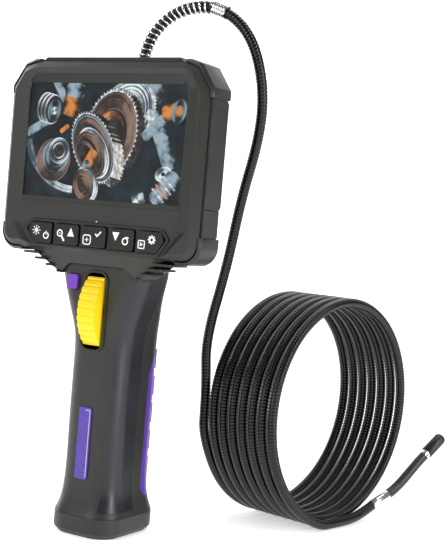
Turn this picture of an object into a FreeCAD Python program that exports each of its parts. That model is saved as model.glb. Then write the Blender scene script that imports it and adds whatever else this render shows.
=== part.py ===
"""Inspection camera (borescope): hand-held head with a screen, pistol handle with a
thumb roller that steers the probe tip, and a long stiff probe cable in a standing coil.

Millimetres. Origin at the middle of the base's flat underside, +X to the user's right,
+Y away from the user, +Z up. Every sub-part is its own solid and its own STEP file.
"""
import FreeCAD, Part
import math
import os
import re
from types import SimpleNamespace

from FreeCAD import Placement, Rotation, Vector

# ---------------------------------------------------------------- driving dimensions
DIMENSIONS = {
    # head, seen from the front
    "head_half": 69.0, "head_top": 268.5, "head_low": 158.0, "bumper": 1.8,
    "front_face": -32.0, "parting": -12.0, "side_rear": -10.0, "cover_back": -4.0,
    "wall": 2.4, "front_bevel": 4.0, "rear_bevel": 6.0,
    # screen and glass
    "screen_level": 222.0, "glass_half": 55.0, "glass_low": 187.0, "glass_high": 259.6,
    "recess_floor": -29.5, "glass_thick": 1.0, "view_half": 54.3, "view_tall": 65.4,
    "lcd_half": 56.5, "lcd_thick": 3.0,
    # key panel
    "key_pitch": 19.0, "key_wide": 16.4, "key_tall": 11.6, "key_level": 169.0,
    "key_front": -30.6, "key_gap": 0.35, "key_floor": -29.0,
    # side port flap
    "flap_low": 189.0, "flap_high": 247.8, "flap_front": -27.0, "flap_back": -11.6,
    "trim_low": 173.8, "side_face": 67.2, "flap_thick": 1.4, "flap_gap": 0.1,
    "flap_pin": 0.6, "flap_pin_x": 68.4, "flap_pin_y": -11.4,
    # rear duct and cable exit
    "duct_half": 18.0, "duct_back": 12.0, "duct_top": 262.0, "exit_y": 3.0,
    # handle
    "skin": 2.2, "base_tall": 12.0, "handle_top": 153.0, "mould_line": 0.5,
    # thumb roller
    "roller_y": -6.1, "roller_z": 127.5, "roller_radius": 26.3, "roller_wide": 11.6,
    "roller_half_angle": 47.0, "rib_count": 10, "shaft_radius": 2.0,
    "roller_clear": 0.6, "drum_radius": 8.0, "wire_radius": 0.4, "wire_offset": 8.6,
    "wire_long": 25.0, "frame_gap": 10.6, "frame_plate": 2.0,
    "slot_wide": 14.0, "slot_tall": 43.0,
    # lock button
    "fin_pitch": 3.15,
    "button_x": -15.65, "button_z": 142.9, "button_wide": 7.4, "button_tall": 8.2,
    # probe cable
    "cable": 6.2, "relief_outer": 8.9, "ferrule_long": 8.5,
    "coil_x": 49.1, "coil_y": 123.7, "coil_z": 71.7, "coil_radius": 68.6,
    "coil_yaw": -11.3, "coil_pitch": 7.65, "coil_turns": 7.25,
    # steerable tip
    "crimp_long": 14.8, "crimp_radius": 3.3, "link_pitch": 5.4, "link_radius": 2.8,
    "link_bore": 1.7, "link_gap": 0.55, "ear_radius": 0.9, "first_hinge": 3.0,
    "collar_radius": 3.4, "barrel_radius": 3.2, "cap_radius": 4.0, "cap_long": 17.5,
}
dim = SimpleNamespace(**DIMENSIONS)

# probe cable: hand-set points from the gland to the first turn of the coil
LEAD_ROUTE = [
    (0.0, 3.0, 262.0), (0.0, 3.0, 274.0), (6.0, 3.5, 289.5), (19.0, 4.5, 300.5),
    (37.5, 7.0, 304.5), (55.5, 10.0, 298.0), (67.5, 14.0, 282.5), (71.5, 21.0, 257.0),
    (66.5, 28.5, 231.5), (52.5, 38.5, 197.5), (41.0, 48.5, 158.0), (26.0, 56.0, 112.5),
    (27.5, 58.0, 85.5), (28.2, 57.9, 71.7),
]
# and from the last turn, along the floor, up to the crimp ferrule
TAIL_ROUTE = [(96.0, 114.3, 3.1), (98.9, 129.5, 3.3), (100.1, 143.2, 4.8), (102.7, 153.5, 9.1)]
RUN_FERRULE_SITS_ON = 4          # run of LEAD_ROUTE that carries the relief ferrule

# tip: compass heading from +Y towards +X, and the rise of each piece, in degrees
TIP_HEADING = 21.9
CRIMP_RISE = 24.8
LINK_RISES = [31.0, 36.5, 40.5, 42.0, 41.5, 40.0]
CAMERA_RISE = 37.5

# handle sections from the base flare to the neck: level, half width, front, back, corner
HANDLE_SECTIONS = [
    (12.0, 22.0, -27.0, 27.5, 15.0), (16.0, 20.8, -25.7, 26.3, 14.6),
    (22.0, 19.4, -24.6, 25.0, 14.0), (32.0, 18.7, -24.0, 24.3, 14.0),
    (60.0, 18.6, -24.0, 23.6, 14.0), (100.0, 18.7, -24.0, 23.2, 14.0),
    (115.0, 19.8, -24.0, 21.8, 14.0), (125.0, 22.6, -24.0, 18.0, 13.0),
    (136.0, 26.0, -24.0, 13.5, 12.0), (146.0, 28.5, -24.0, 12.0, 11.0),
    (153.0, 29.0, -24.0, 12.0, 11.0),
]
# half outline of the front plate where the side grips begin: half width, level
PLATE_EDGE = [
    (26.0, 147.8), (23.4, 141.0), (19.6, 132.5), (16.2, 125.5), (14.2, 117.0),
    (13.4, 108.0), (13.3, 60.0), (12.9, 40.0), (13.0, 10.0),
]

doc = FreeCAD.newDocument("inspection_camera")
sheet = doc.addObject("Spreadsheet::Sheet", "Dims")
for line, (alias, amount) in enumerate(DIMENSIONS.items(), start=1):
    sheet.set(f"A{line}", alias)
    sheet.set(f"B{line}", str(amount))
    sheet.setAlias(f"B{line}", alias)
doc.recompute()

nodes = {}


# ---------------------------------------------------------------- helpers
def bind(obj, **formulas):
    """Tie properties to sheet cells; double underscores in a name stand for dots."""
    for prop, formula in formulas.items():
        text = re.sub(r"[a-z_]+", lambda word: "Dims." + word.group()
                      if word.group() in DIMENSIONS else word.group(), str(formula))
        obj.setExpression(prop.replace("__", "."), text)


def keep(name, obj):
    """Name an object as a sub-part that is written out."""
    obj.Label = name
    nodes[name] = obj
    return obj


def block(name, x, y, z):
    """Box from three (low, high) pairs of formulas."""
    box = doc.addObject("Part::Box", name)
    for prop, axis, (low, high) in (("Length", "x", x), ("Width", "y", y), ("Height", "z", z)):
        bind(box, **{prop: f"({high}) - ({low})", f"Placement__Base__{axis}": f"{low}"})
    return box


def rod(name, radius, tall, base, along, turn=None):
    """Cylinder from a base point along a direction; radius and height are formulas."""
    cylinder = doc.addObject("Part::Cylinder", name)
    bind(cylinder, Radius=radius, Height=tall)
    spin = turn or Rotation(Vector(0, 0, 1), Vector(*along))
    cylinder.Placement = Placement(Vector(*base), spin)
    return cylinder


def cut(name, base, *tools):
    """Base less every tool."""
    tool = tools[0]
    if len(tools) > 1:
        tool = fuse(name + "_tools", *tools)
    result = doc.addObject("Part::Cut", name)
    result.Base, result.Tool = base, tool
    return result


def fuse(name, *shapes):
    """Union of the shapes, its split faces joined again."""
    result = doc.addObject("Part::MultiFuse", name)
    result.Shapes = list(shapes)
    result.Refine = True
    return result


def common(name, *shapes):
    """What the shapes share."""
    result = doc.addObject("Part::MultiCommon", name)
    result.Shapes = list(shapes)
    return result


def rounded(points, radii):
    """Closed outline in a plane: straight runs, with an arc at each corner that has a radius."""
    corners = []
    for index, (x, y) in enumerate(points):
        radius = radii[index] if isinstance(radii, (list, tuple)) else radii
        here = Vector(x, y, 0)
        before = (Vector(*points[index - 1], 0) - here).normalize()
        after = (Vector(*points[(index + 1) % len(points)], 0) - here).normalize()
        half = before.getAngle(after) / 2
        if radius <= 0:
            corners.append((here, None, here))
            continue
        back = radius / math.tan(half)
        centre = here + (before + after).normalize() * (radius / math.sin(half))
        middle = centre + (here - centre).normalize() * radius
        corners.append((here + before * back, middle, here + after * back))
    edges = []
    for index, (start, middle, end) in enumerate(corners):
        if middle:
            edges.append(Part.Arc(start, middle, end))
        following = corners[(index + 1) % len(corners)][0]
        if end.distanceToPoint(following) > 1e-6:
            edges.append(Part.LineSegment(end, following))
    return edges


def plate(name, plane, outline, low, high):
    """PartDesign body: an outline padded from one level to another across a plane.

    Planes and their outline axes: XZ_Plane (x, z), YZ_Plane (y, z), XY_Plane (x, y).
    """
    body = doc.addObject("PartDesign::Body", name)
    base = next(item for item in body.Origin.OriginFeatures if item.Role == plane)
    sketch = body.newObject("Sketcher::SketchObject", name + "_outline")
    sketch.AttachmentSupport = [(base, "")]
    sketch.MapMode = "FlatFace"
    sketch.addGeometry(outline, False)
    pad = body.newObject("PartDesign::Pad", name + "_pad")
    pad.Profile = sketch
    pad.Reversed = plane == "XZ_Plane"
    bind(pad, Length=f"({high}) - ({low})")
    axis = {"XZ_Plane": "y", "YZ_Plane": "x", "XY_Plane": "z"}[plane]
    bind(body, **{f"Placement__Base__{axis}": f"{low}"})
    body.Tip = pad
    doc.recompute()
    return body


def bevel_rim(body, axis, level, size):
    """Chamfer all edges of the padded body's face that stands at a level along an axis."""
    pad = body.Tip
    offset = getattr(body.Placement.Base, axis)
    names = [f"Face{number}" for number, face in enumerate(pad.Shape.Faces, start=1)
             if abs(getattr(face.CenterOfMass, axis) + offset - level) < 1e-4]
    chamfer = body.newObject("PartDesign::Chamfer", body.Name + "_bevel" + str(len(names)))
    chamfer.Base = (pad, names)
    bind(chamfer, Size=size)
    body.Tip = chamfer
    doc.recompute()
    return body


def head_outline(inset):
    """Front view of the head: two-step upper corners, round lower corners."""
    half, top = dim.head_half - inset, dim.head_top - inset
    bottom = dim.head_low + inset
    step = 0.4 * inset
    right = [(half, bottom), (half, top - 15 + step), (half - 8.6 + step, top - 2.5),
             (half - 16 + step, top)]
    left = [(-x, z) for x, z in reversed(right)]
    round_low = max(11.0 - inset, 4.0)
    return rounded(right + left, [round_low, 0, 0, 0, 0, 0, 0, round_low])


def upright_sketch(name, outline, level):
    """Outline standing in the XZ plane at a level along Y."""
    sketch = doc.addObject("Sketcher::SketchObject", name)
    sketch.addGeometry(outline, False)
    sketch.Placement = Placement(Vector(0, level, 0), Rotation(Vector(1, 0, 0), 90))
    return sketch


def head_loft(name, *levels):
    """Solid through head outlines, given as (inset, level along Y) from front to back."""
    return loft(name, [upright_sketch(f"{name}_{number}", head_outline(inset), level)
                       for number, (inset, level) in enumerate(levels)], ruled=True)


def box_outline(x_low, x_high, y_low, y_high, radius):
    """Rectangle with round corners."""
    return rounded([(x_low, y_low), (x_high, y_low), (x_high, y_high), (x_low, y_high)], radius)


def section_wire(name, level, half, front, back, corner):
    """Horizontal section of the handle as a sketch at its level."""
    sketch = doc.addObject("Sketcher::SketchObject", name)
    sketch.Placement = Placement(Vector(0, 0, level), Rotation())
    sketch.addGeometry(box_outline(-half, half, front, back, corner), False)
    return sketch


def loft(name, sketches, ruled=False):
    """Solid through a list of section sketches."""
    result = doc.addObject("Part::Loft", name)
    result.Sections = sketches
    result.Solid, result.Ruled = True, ruled
    return result


# ---------------------------------------------------------------- head
def build_head():
    """Bezel, rear cover with its cable duct, seal, bumpers and trims."""
    shell = head_loft("bezel_block", (dim.bumper + dim.front_bevel, dim.front_face),
                      (dim.bumper, dim.front_face + dim.front_bevel), (dim.bumper, dim.parting))
    inside = plate("bezel_hollow", "XZ_Plane", head_outline(dim.bumper + dim.wall),
                   "recess_floor + 2.1", "parting + 1")
    recess_rim = upright_sketch("recess_rim", rounded(
        [(46, 159.2), (61.2, 176.0), (61.2, 252.4), (54, 262.8),
         (-54, 262.8), (-61.2, 252.4), (-61.2, 176.0), (-46, 159.2)], 2.0),
        dim.front_face - 0.01)
    recess_foot = upright_sketch("recess_foot", rounded(
        [(44, 160.6), (55.6, 174.6), (55.6, 251.0), (50, 260.0),
         (-50, 260.0), (-55.6, 251.0), (-55.6, 174.6), (-44, 160.6)], 1.5), dim.recess_floor)
    recess = loft("recess", [recess_rim, recess_foot], ruled=True)
    glass_corners = [(dim.glass_half - 1, dim.glass_low), (dim.glass_half - 1, 250.6),
                     (49.3, dim.glass_high - 0.4), (-49.3, dim.glass_high - 0.4),
                     (1 - dim.glass_half, 250.6), (1 - dim.glass_half, dim.glass_low)]
    pocket = plate("glass_pocket", "XZ_Plane", rounded(
        [(x + math.copysign(0.1, x), z + (0.1 if z > 200 else -0.1)) for x, z in glass_corners],
        1.0), "recess_floor - 0.5", "recess_floor + glass_thick")
    window = block("screen_window", ("-view_half + 1.3", "view_half - 1.3"),
                   ("recess_floor - 1", "recess_floor + 3"),
                   ("screen_level - view_tall / 2", "screen_level + view_tall / 2"))
    panel = plate("key_recess", "XZ_Plane", key_panel_outline(1.5),
                  "recess_floor - 0.5", "key_floor")
    openings = [plate(f"key_opening_{index}", "XZ_Plane", key_outline(index, -dim.key_gap),
                      "key_floor - 2", "key_floor + 3") for index in range(5)]
    sockets = [block("usb_opening", ("side_face - 4", "side_face + 1"), (-21.2, -17.4),
                     (224.7, 234.3)),
               block("card_opening", ("side_face - 4", "side_face + 1"), (-20.4, -17.6),
                     (203.7, 216.3))]
    keep("front_bezel", cut("bezel_cut", shell, inside, recess, pocket, window, panel,
                            *openings, *sockets))

    glass = plate("glass_plate", "XZ_Plane", rounded(glass_corners, 1.0),
                  "recess_floor", "recess_floor + glass_thick")
    keep("screen_glass", glass)

    back = head_loft("cover_block", (dim.bumper, dim.parting),
                     (dim.bumper, dim.side_rear), (dim.bumper + dim.rear_bevel, dim.cover_back))
    back_inside = plate("cover_hollow", "XZ_Plane", head_outline(dim.bumper + dim.wall + 4),
                        "parting - 1", "cover_back - wall")
    duct = plate("duct_block", "XY_Plane", rounded(
        [(-18, -8), (18, -8), (18, 12), (-18, 12)], [0, 0, 9, 9]), "head_low", "duct_top")
    duct_inside = plate("duct_hollow", "XY_Plane", box_outline(
        -15.6, 15.6, -9, 9.6, 6), "head_low - 1", "duct_top - 7")
    exit_hole = rod("exit_hole", "cable / 2 + 0.15", "10", (0, dim.exit_y, 255), (0, 0, 1))
    top_slope = plate("duct_slope", "YZ_Plane", rounded(
        [(9.5, 262.5), (13, 262.5), (13, 257)], 0), "-duct_half - 1", "duct_half + 1")
    keep("rear_cover", cut("cover_cut", fuse("cover_solid", back, duct), back_inside,
                           duct_inside, exit_hole, top_slope))

    seal_outer = plate("seal_outer", "XZ_Plane", head_outline(dim.bumper + dim.wall + 0.2),
                       "parting - 0.8", "parting + 0.8")
    seal_inner = plate("seal_inner", "XZ_Plane", head_outline(dim.bumper + dim.wall + 1.4),
                       "parting - 2", "parting + 2")
    keep("bezel_seal", common("seal_ring", cut("seal_cut", seal_outer, seal_inner),
                              block("seal_front_half", (-80, 80), ("parting - 1", "parting"),
                                    (150, 280))))

    band = head_loft("band_block", (dim.bumper - 0.3, dim.flap_front - dim.bumper),
                     (0, dim.flap_front), (0, dim.side_rear))
    band_core = plate("band_core", "XZ_Plane", head_outline(dim.bumper),
                      "front_face", "cover_back")
    ring = cut("bumper_ring", band, band_core)
    for side, x_pair in (("right", (50, 80)), ("left", (-80, -50))):
        keep(f"bumper_upper_{side}", common(f"upper_{side}", ring, block(
            f"upper_{side}_zone", x_pair, (-40, 0), ("flap_high + 0.4", 280))))
        x_low = (53, 80) if side == "right" else (-80, -53)
        keep(f"bumper_lower_{side}", common(f"lower_{side}", ring, block(
            f"lower_{side}_zone", x_low, (-40, 0), (150, "trim_low - 0.4"))))
    keep("side_trim_left", block("trim_left", ("-side_face - flap_thick", "-side_face"),
                                 ("flap_front", "flap_back"), ("trim_low", "flap_high")))
    keep("side_trim_right", block("trim_right", ("side_face", "side_face + flap_thick"),
                                  ("flap_front", "flap_back"), ("trim_low", "flap_low - 0.4")))
    flap = block("flap_leaf", ("side_face + flap_gap", "side_face + flap_gap + flap_thick"),
                 ("flap_front", "flap_back"), ("flap_low", "flap_high"))
    pin = rod("flap_pin_rod", "flap_pin", "flap_high - flap_low - 2",
              (dim.flap_pin_x, dim.flap_pin_y, dim.flap_low + 1), (0, 0, 1))
    keep("port_cover", fuse("flap_with_pin", flap, pin))
    keep("top_band", plate("top_band_bar", "XZ_Plane", rounded(
        [(-48.5, 266.7), (48.5, 266.7), (46.0, 269.3), (-46.0, 269.3)], 0),
        "flap_front", "side_rear"))


def key_panel_outline(inset):
    """Six-sided key panel with pointed ends."""
    return rounded([(43.5 - inset, 161.4 + inset), (50.2 - 1.2 * inset, 171.0),
                    (45.5 - inset, 176.8 - inset), (inset - 45.5, 176.8 - inset),
                    (1.2 * inset - 50.2, 171.0), (inset - 43.5, 161.4 + inset)], 2.0)


def key_outline(index, inset):
    """One of five keys; the end keys have a slanted outer side."""
    middle = (index - 2) * dim.key_pitch
    half, tall = dim.key_wide / 2 - inset, dim.key_tall / 2 - inset
    low, high = dim.key_level - tall, dim.key_level + tall
    if index in (1, 2, 3):
        return box_outline(middle - half, middle + half, low, high, 1.8)
    side = 1 if index == 4 else -1
    inner, outer = middle - side * half, middle + side * half
    points = [(inner, low), (outer - side * 4.0, low), (outer + side * 0.8, dim.key_level + 1.5),
              (outer - side * 1.4, high), (inner, high)]
    if side < 0:
        points.reverse()
    return rounded(points, 1.6)


def build_keys():
    """Key surround, five sprung keys and the mat behind them."""
    outer = plate("surround_outer", "XZ_Plane", key_panel_outline(0),
                  "recess_floor - 0.9", "recess_floor")
    inner = plate("surround_inner", "XZ_Plane", key_panel_outline(1.5),
                  "recess_floor - 2", "recess_floor + 2")
    keep("key_surround", cut("surround_ring", outer, inner))
    for index, name in enumerate(("power", "zoom", "capture", "rotate", "play")):
        cap = plate(f"key_cap_{index}", "XZ_Plane", key_outline(index, 0),
                    "key_front", "key_floor + 1.9")
        flange = plate(f"key_flange_{index}", "XZ_Plane", key_outline(index, -0.8),
                       "key_floor + 1.9", "key_floor + 2.9")
        keep(f"key_{name}", fuse(f"key_{name}_solid", cap, flange))
    keep("key_mat", block("mat_sheet", (-47, 47), (-25.0, -24.0), (163.2, 176.0)))


def build_electronics():
    """Display, its bracket, the main board and the two sockets behind the flap."""
    lcd = block("lcd_slab", ("-lcd_half", "lcd_half"),
                ("recess_floor + 2.2", "recess_floor + 2.2 + lcd_thick"), (187.2, 257.4))
    keep("lcd_panel", lcd)
    frame = block("bracket_slab", (-58.5, 58.5), ("recess_floor + 2.2", "recess_floor + 6.6"),
                  (185.2, 258.6))
    seat = block("bracket_seat", ("-lcd_half - 0.1", "lcd_half + 0.1"),
                 ("recess_floor", "recess_floor + 2.3 + lcd_thick"), (187.1, 257.5))
    hole = block("bracket_hole", (-46, 46), ("recess_floor", 0), (195, 250))
    keep("lcd_bracket", cut("bracket_frame", frame, seat, hole))
    keep("main_board", block("board_sheet", (-52, 57), (-20.4, -18.8), (183, 252)))
    keep("usb_socket", cut("usb_shell", block("usb_block", (58.5, 66.0), (-20.9, -17.7),
                                              (225, 234)),
                           block("usb_mouth", (60.0, 67), (-20.4, -18.2), (225.5, 233.5))))
    keep("card_socket", cut("card_shell", block("card_block", (53.0, 66.0), (-18.8, -17.8),
                                                (204, 216)),
                            block("card_mouth", (54.0, 67), (-18.55, -18.05), (204.5, 215.5))))


# ---------------------------------------------------------------- handle
def build_handle():
    """Lofted handle skin, split into front plate, side grips, rear shell and insert."""
    outer = loft("handle_outer", [section_wire(f"outer_{round(level)}", level, half, front, back,
                                               corner)
                                  for level, half, front, back, corner in HANDLE_SECTIONS])
    inner = loft("handle_inner", [
        section_wire(f"inner_{round(level)}", level, half - dim.skin, front + dim.skin,
                     back - dim.skin, corner - dim.skin)
        for level, half, front, back, corner in HANDLE_SECTIONS])
    skin = cut("handle_skin", outer, inner)
    side_zone = plate("grip_zone", "YZ_Plane", rounded(
        [(-30, 15), (dim.mould_line, 15), (dim.mould_line, 147.0), (-30, 147.0)],
        [9, 0, 0, 0]), -40, 40)
    edge = PLATE_EDGE + [(-x, z) for x, z in reversed(PLATE_EDGE)]
    front_zone = plate("plate_zone", "XZ_Plane", rounded(edge, 0), -40, -10)
    grips = cut("grip_pair", common("grip_band", skin, side_zone), front_zone)
    keep("side_grip_right", common("grip_right", grips, block("right_half", (0, 60), (-60, 60),
                                                              (0, 200))))
    keep("side_grip_left", common("grip_left", grips, block("left_half", (-60, 0), (-60, 60),
                                                            (0, 200))))
    front_half = block("front_half", (-60, 60), (-60, "mould_line"), (0, 200))
    slot = plate("slot_hole", "XZ_Plane", box_outline(
        -dim.slot_wide / 2, dim.slot_wide / 2, dim.roller_z - dim.slot_tall / 2,
        dim.roller_z + dim.slot_tall / 2, 4.5), -30, -15)
    button_hole = plate("button_hole", "XZ_Plane", box_outline(
        dim.button_x - dim.button_wide / 2 - 0.4, dim.button_x + dim.button_wide / 2 + 0.4,
        dim.button_z - dim.button_tall / 2 - 0.4, dim.button_z + dim.button_tall / 2 + 0.4, 1.8),
        -30, -15)
    room = rod("roller_room", "roller_radius + roller_clear", "13",
               (-6.5, dim.roller_y, dim.roller_z), (1, 0, 0))
    keep("handle_front_plate", cut("front_plate_cut", common("front_skin", skin, front_half),
                                   grips, slot, button_hole, room))
    rear_half = block("rear_half", (-60, 60), ("mould_line", 60), (0, 200))
    insert_zone = plate("insert_zone", "YZ_Plane", rounded(
        [(8.4, 26), (12, 21), (35, 21), (35, 102.5), (13, 102.5), (8.4, 93)],
        [3, 2, 0, 0, 2, 6]), -40, 40)
    rear_skin = common("rear_skin", skin, rear_half)
    keep("handle_rear_shell", cut("rear_shell_cut", rear_skin, insert_zone))
    ridges = [block(f"ridge_{number}", (-12, 12), (18, 24.7),
                    (30.0 + 16 * number, 41.5 + 16 * number)) for number in range(5)]
    insert_skin = common("insert_skin", rear_skin, insert_zone)
    pads = cut("ridge_pads", fuse("ridge_blocks", *ridges), outer)
    keep("rear_grip_insert", fuse("insert_with_ridges", insert_skin, pads))

    cap = plate("base_block", "XY_Plane", box_outline(-22, 22, -27, 27.5, 15), "0", "base_tall")
    bevel_rim(cap, "z", 0, "3")
    hollow = plate("base_hollow", "XY_Plane", box_outline(-18.5, 18.5, -23.5, 24, 11.5),
                   "3", "base_tall + 1")
    keep("base_cap", cut("base_cup", cap, hollow))
    name_bar = plate("name_bar", "XZ_Plane", box_outline(-4.3, 4.3, 32.5, 73.2, 1.2), -24.8, -23)
    keep("nameplate", cut("nameplate_cut", name_bar, outer))
    rim = plate("rim_outer", "XZ_Plane", box_outline(-8.3, 8.3, 104.7, 150.3, 5.8), -24.9, -22)
    rim_hole = plate("rim_inner", "XZ_Plane", box_outline(-7, 7, 106, 149, 4.5), -30, -15)
    keep("slot_trim", cut("trim_cut", rim, rim_hole, outer))
    build_neck(outer)


def build_neck(handle_outer):
    """Funnel of stepped fins between the head and the handle, with a saddle at its back."""
    core = loft("neck_core", [
        section_wire("neck_top", dim.head_low + dim.bumper, 48.4, -27.8, -10.5, 4),
        section_wire("neck_low", 147, 28.6, -24.2, -6, 4)], ruled=True)
    fins = [plate(f"fin_{number}", "XY_Plane", box_outline(
        -51.5 + 7.3 * number, 51.5 - 7.3 * number, -29.4 + 1.2 * number, -9.8, 3),
        f"156.6 - fin_pitch * {number}", f"157.8 - fin_pitch * {number}") for number in range(4)]
    tunnel = plate("neck_tunnel", "XY_Plane", box_outline(-26, 26, -21.5, 0, 5), 140, 162)
    plate_top = plate("plate_top_zone", "XZ_Plane", rounded(
        [(-26.4, 140), (26.4, 140), (26.4, 148), (18.6, 153.2), (-18.6, 153.2), (-26.4, 148)], 0),
        -40, -20)
    saddle = loft("saddle_outer", [saddle_section("saddle_low", dim.handle_top, 29, 12, 11),
                                   saddle_section("saddle_high", dim.head_low, 18, 12, 9)])
    hollow = loft("saddle_hollow", [
        saddle_section("hollow_low", dim.handle_top - 0.01, 26.8, 9.8, 8.8),
        saddle_section("hollow_high", dim.head_low + 0.01, 15.6, 9.6, 6.8)])
    bare_front = plate("bare_front_zone", "XZ_Plane", rounded(
        [(-41, 159), (-24, 146), (24, 146), (41, 159)], 0), -40, -20)
    side_fins = cut("side_fins", fuse("fin_stack", *fins), bare_front)
    solid = cut("neck_cut", fuse("neck_solid", core, side_fins, saddle), tunnel, handle_outer,
                plate_top, hollow)
    keep("neck_collar", solid)


def saddle_section(name, level, half, back, corner):
    """Horizontal section of the saddle, square in front and round at the back."""
    sketch = doc.addObject("Sketcher::SketchObject", name)
    sketch.Placement = Placement(Vector(0, 0, level), Rotation())
    sketch.addGeometry(rounded([(-half, -12), (half, -12), (half, back), (-half, back)],
                               [0, 0, corner, corner]), False)
    return sketch


def build_screws():
    """Countersunk screws: four in the rear cover, three in the handle's rear shell."""
    places = [(-56, -4.0, 172), (56, -4.0, 172), (-56, -4.0, 252), (56, -4.0, 252)]
    parts = []
    for number, (x, y, z) in enumerate(places):
        head = rod(f"screw_head_{number}", "2.6", "1.2", (x, y, z), (0, 1, 0))
        drive = rod(f"screw_drive_{number}", "1.1", "1", (x, y + 0.6, z), (0, 1, 0))
        parts.append(cut(f"screw_{number}", head, drive))
    keep("housing_screws", fuse("screw_group", *parts))


def build_battery():
    """Cell and its cradle inside the handle."""
    keep("battery_cell", rod("cell_can", "9.2", "65", (0, 2, 27), (0, 0, 1)))
    cradle = cut("cradle_tube", rod("cradle_outer", "11", "72", (0, 2, 23.5), (0, 0, 1)),
                 rod("cradle_inner", "9.35", "65.4", (0, 2, 26.8), (0, 0, 1)),
                 block("cradle_front", (-20, 20), (-20, 1), (26.8, 92.2)))
    keep("battery_holder", cradle)


# ---------------------------------------------------------------- steering drive
def build_drive():
    """Roller sector on its shaft, wire drum, bushes, frame, wires and lock button."""
    y, z = dim.roller_y, dim.roller_z
    opening = math.radians(dim.roller_half_angle)
    fan = Rotation(Vector(0, -math.cos(opening), math.sin(opening)), Vector(),
                   Vector(1, 0, 0), "ZXY")

    def fan_piece(name, radius, wide):
        piece = rod(name, radius, f"{wide}", (-wide / 2, y, z), (1, 0, 0), fan)
        bind(piece, Angle="roller_half_angle * 2")
        return piece

    rim = cut("roller_rim", fan_piece("rim_fan", "roller_radius", dim.roller_wide),
              rod("rim_bore", "18", "40", (-20, y, z), (1, 0, 0)))
    web = fan_piece("web_fan", "18.2", 5.0)
    hub = rod("roller_hub", "5.5", f"{dim.roller_wide}", (-dim.roller_wide / 2, y, z), (1, 0, 0))
    grooves = []
    for number in range(int(dim.rib_count)):
        angle = (2 * (number + 0.5) / dim.rib_count - 1) * opening
        reach = dim.roller_radius + 0.55
        grooves.append(rod(f"groove_{number}", "1.1", "20", (
            -10, y - reach * math.cos(angle), z + reach * math.sin(angle)), (1, 0, 0)))
    bore = rod("roller_bore", "shaft_radius", "40", (-20, y, z), (1, 0, 0))
    keep("thumb_roller", cut("roller_cut", fuse("roller_solid", rim, web, hub), bore, *grooves))
    keep("roller_shaft", rod("shaft_rod", "shaft_radius", "26.4", (-13.2, y, z), (1, 0, 0)))
    keep("cable_drum", cut("drum_cut", rod("drum_disc", "drum_radius", "3", (6.2, y, z),
                                           (1, 0, 0)),
                           rod("drum_bore", "shaft_radius", "40", (-20, y, z), (1, 0, 0))))
    bushes, plates = [], []
    for side in (-1, 1):
        x = dim.frame_gap if side > 0 else -dim.frame_gap - dim.frame_plate
        bushes.append(cut(f"bush_{side + 1}",
                          rod(f"bush_body_{side + 1}", "3.5", "frame_plate", (x, y, z), (1, 0, 0)),
                          rod(f"bush_bore_{side + 1}", "shaft_radius + 0.05", "4",
                              (x - 1, y, z), (1, 0, 0))))
        cheek = block(f"cheek_{side + 1}", (x, x + dim.frame_plate), (-14, 8), (113, 142))
        plates.append(cut(f"cheek_cut_{side + 1}", cheek,
                          rod(f"cheek_hole_{side + 1}", "3.5", "6", (x - 2, y, z), (1, 0, 0))))
    keep("roller_bushes", fuse("bush_pair", *bushes))
    bridge = block("frame_bridge", ("-frame_gap - frame_plate", "frame_gap + frame_plate"),
                   (8, 10), (113, 142))
    post = rod("frame_post", "2.5", "7", (0, 10, 118), (0, 1, 0))
    keep("mechanism_frame", fuse("frame_solid", *plates, bridge, post))
    for name, side in (("front", -1), ("rear", 1)):
        keep(f"steering_wire_{name}", rod(f"wire_{name}", "wire_radius", "wire_long", (
            7.7, y + side * dim.wire_offset, z - 2), (0, 0, 1)))
    cap = plate("button_cap", "XZ_Plane", box_outline(
        dim.button_x - dim.button_wide / 2, dim.button_x + dim.button_wide / 2,
        dim.button_z - dim.button_tall / 2, dim.button_z + dim.button_tall / 2, 1.5),
        -26.2, -19.0)
    flange = block("button_flange", ("button_x - 4.9", "button_x + 4.9"), (-19.0, -18.0),
                   ("button_z - 5.4", "button_z + 5.4"))
    stem = rod("button_stem", "1.5", "12", (dim.button_x, -20, dim.button_z), (0, 1, 0))
    keep("lock_button", fuse("button_solid", cap, flange, stem))


# ---------------------------------------------------------------- probe cable
def route_edges(points, label):
    """Straight runs joined by tangent arcs; prints each arc's radius."""
    places = [Vector(*point) for point in points]
    edges, radii = [], []
    here = places[0]
    for before, corner, after in zip(places, places[1:], places[2:]):
        back, ahead = (before - corner), (after - corner)
        reach = 0.45 * min(back.Length, ahead.Length)
        turn = math.pi - back.getAngle(ahead)
        radius = reach / math.tan(turn / 2)
        start = corner + back.normalize() * reach
        end = corner + ahead.normalize() * reach
        inward = (back + ahead).normalize()
        centre_way = radius / math.cos(turn / 2)
        middle = corner + inward * (centre_way - radius)
        edges.append(Part.LineSegment(here, start).toShape())
        edges.append(Part.Arc(start, middle, end).toShape())
        radii.append(round(radius, 1))
        here = end
    edges.append(Part.LineSegment(here, places[-1]).toShape())
    print(label, "bend radii", radii)
    return edges


def tube(name, edges, radius):
    """Round solid swept along joined edges, compared with its section times its length."""
    wire = Part.Wire(edges)
    start = edges[0].Vertexes[0].Point
    along = edges[0].tangentAt(edges[0].FirstParameter)
    circle = Part.Wire(Part.Circle(start, along, radius).toShape())
    solid = wire.makePipeShell([circle], True, False)
    share = solid.Volume / (math.pi * radius ** 2 * wire.Length)
    print(name, "length", round(wire.Length, 1), "volume over section times length",
          round(share, 4))
    feature = doc.addObject("Part::Feature", name)
    feature.Shape = solid
    return feature


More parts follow.
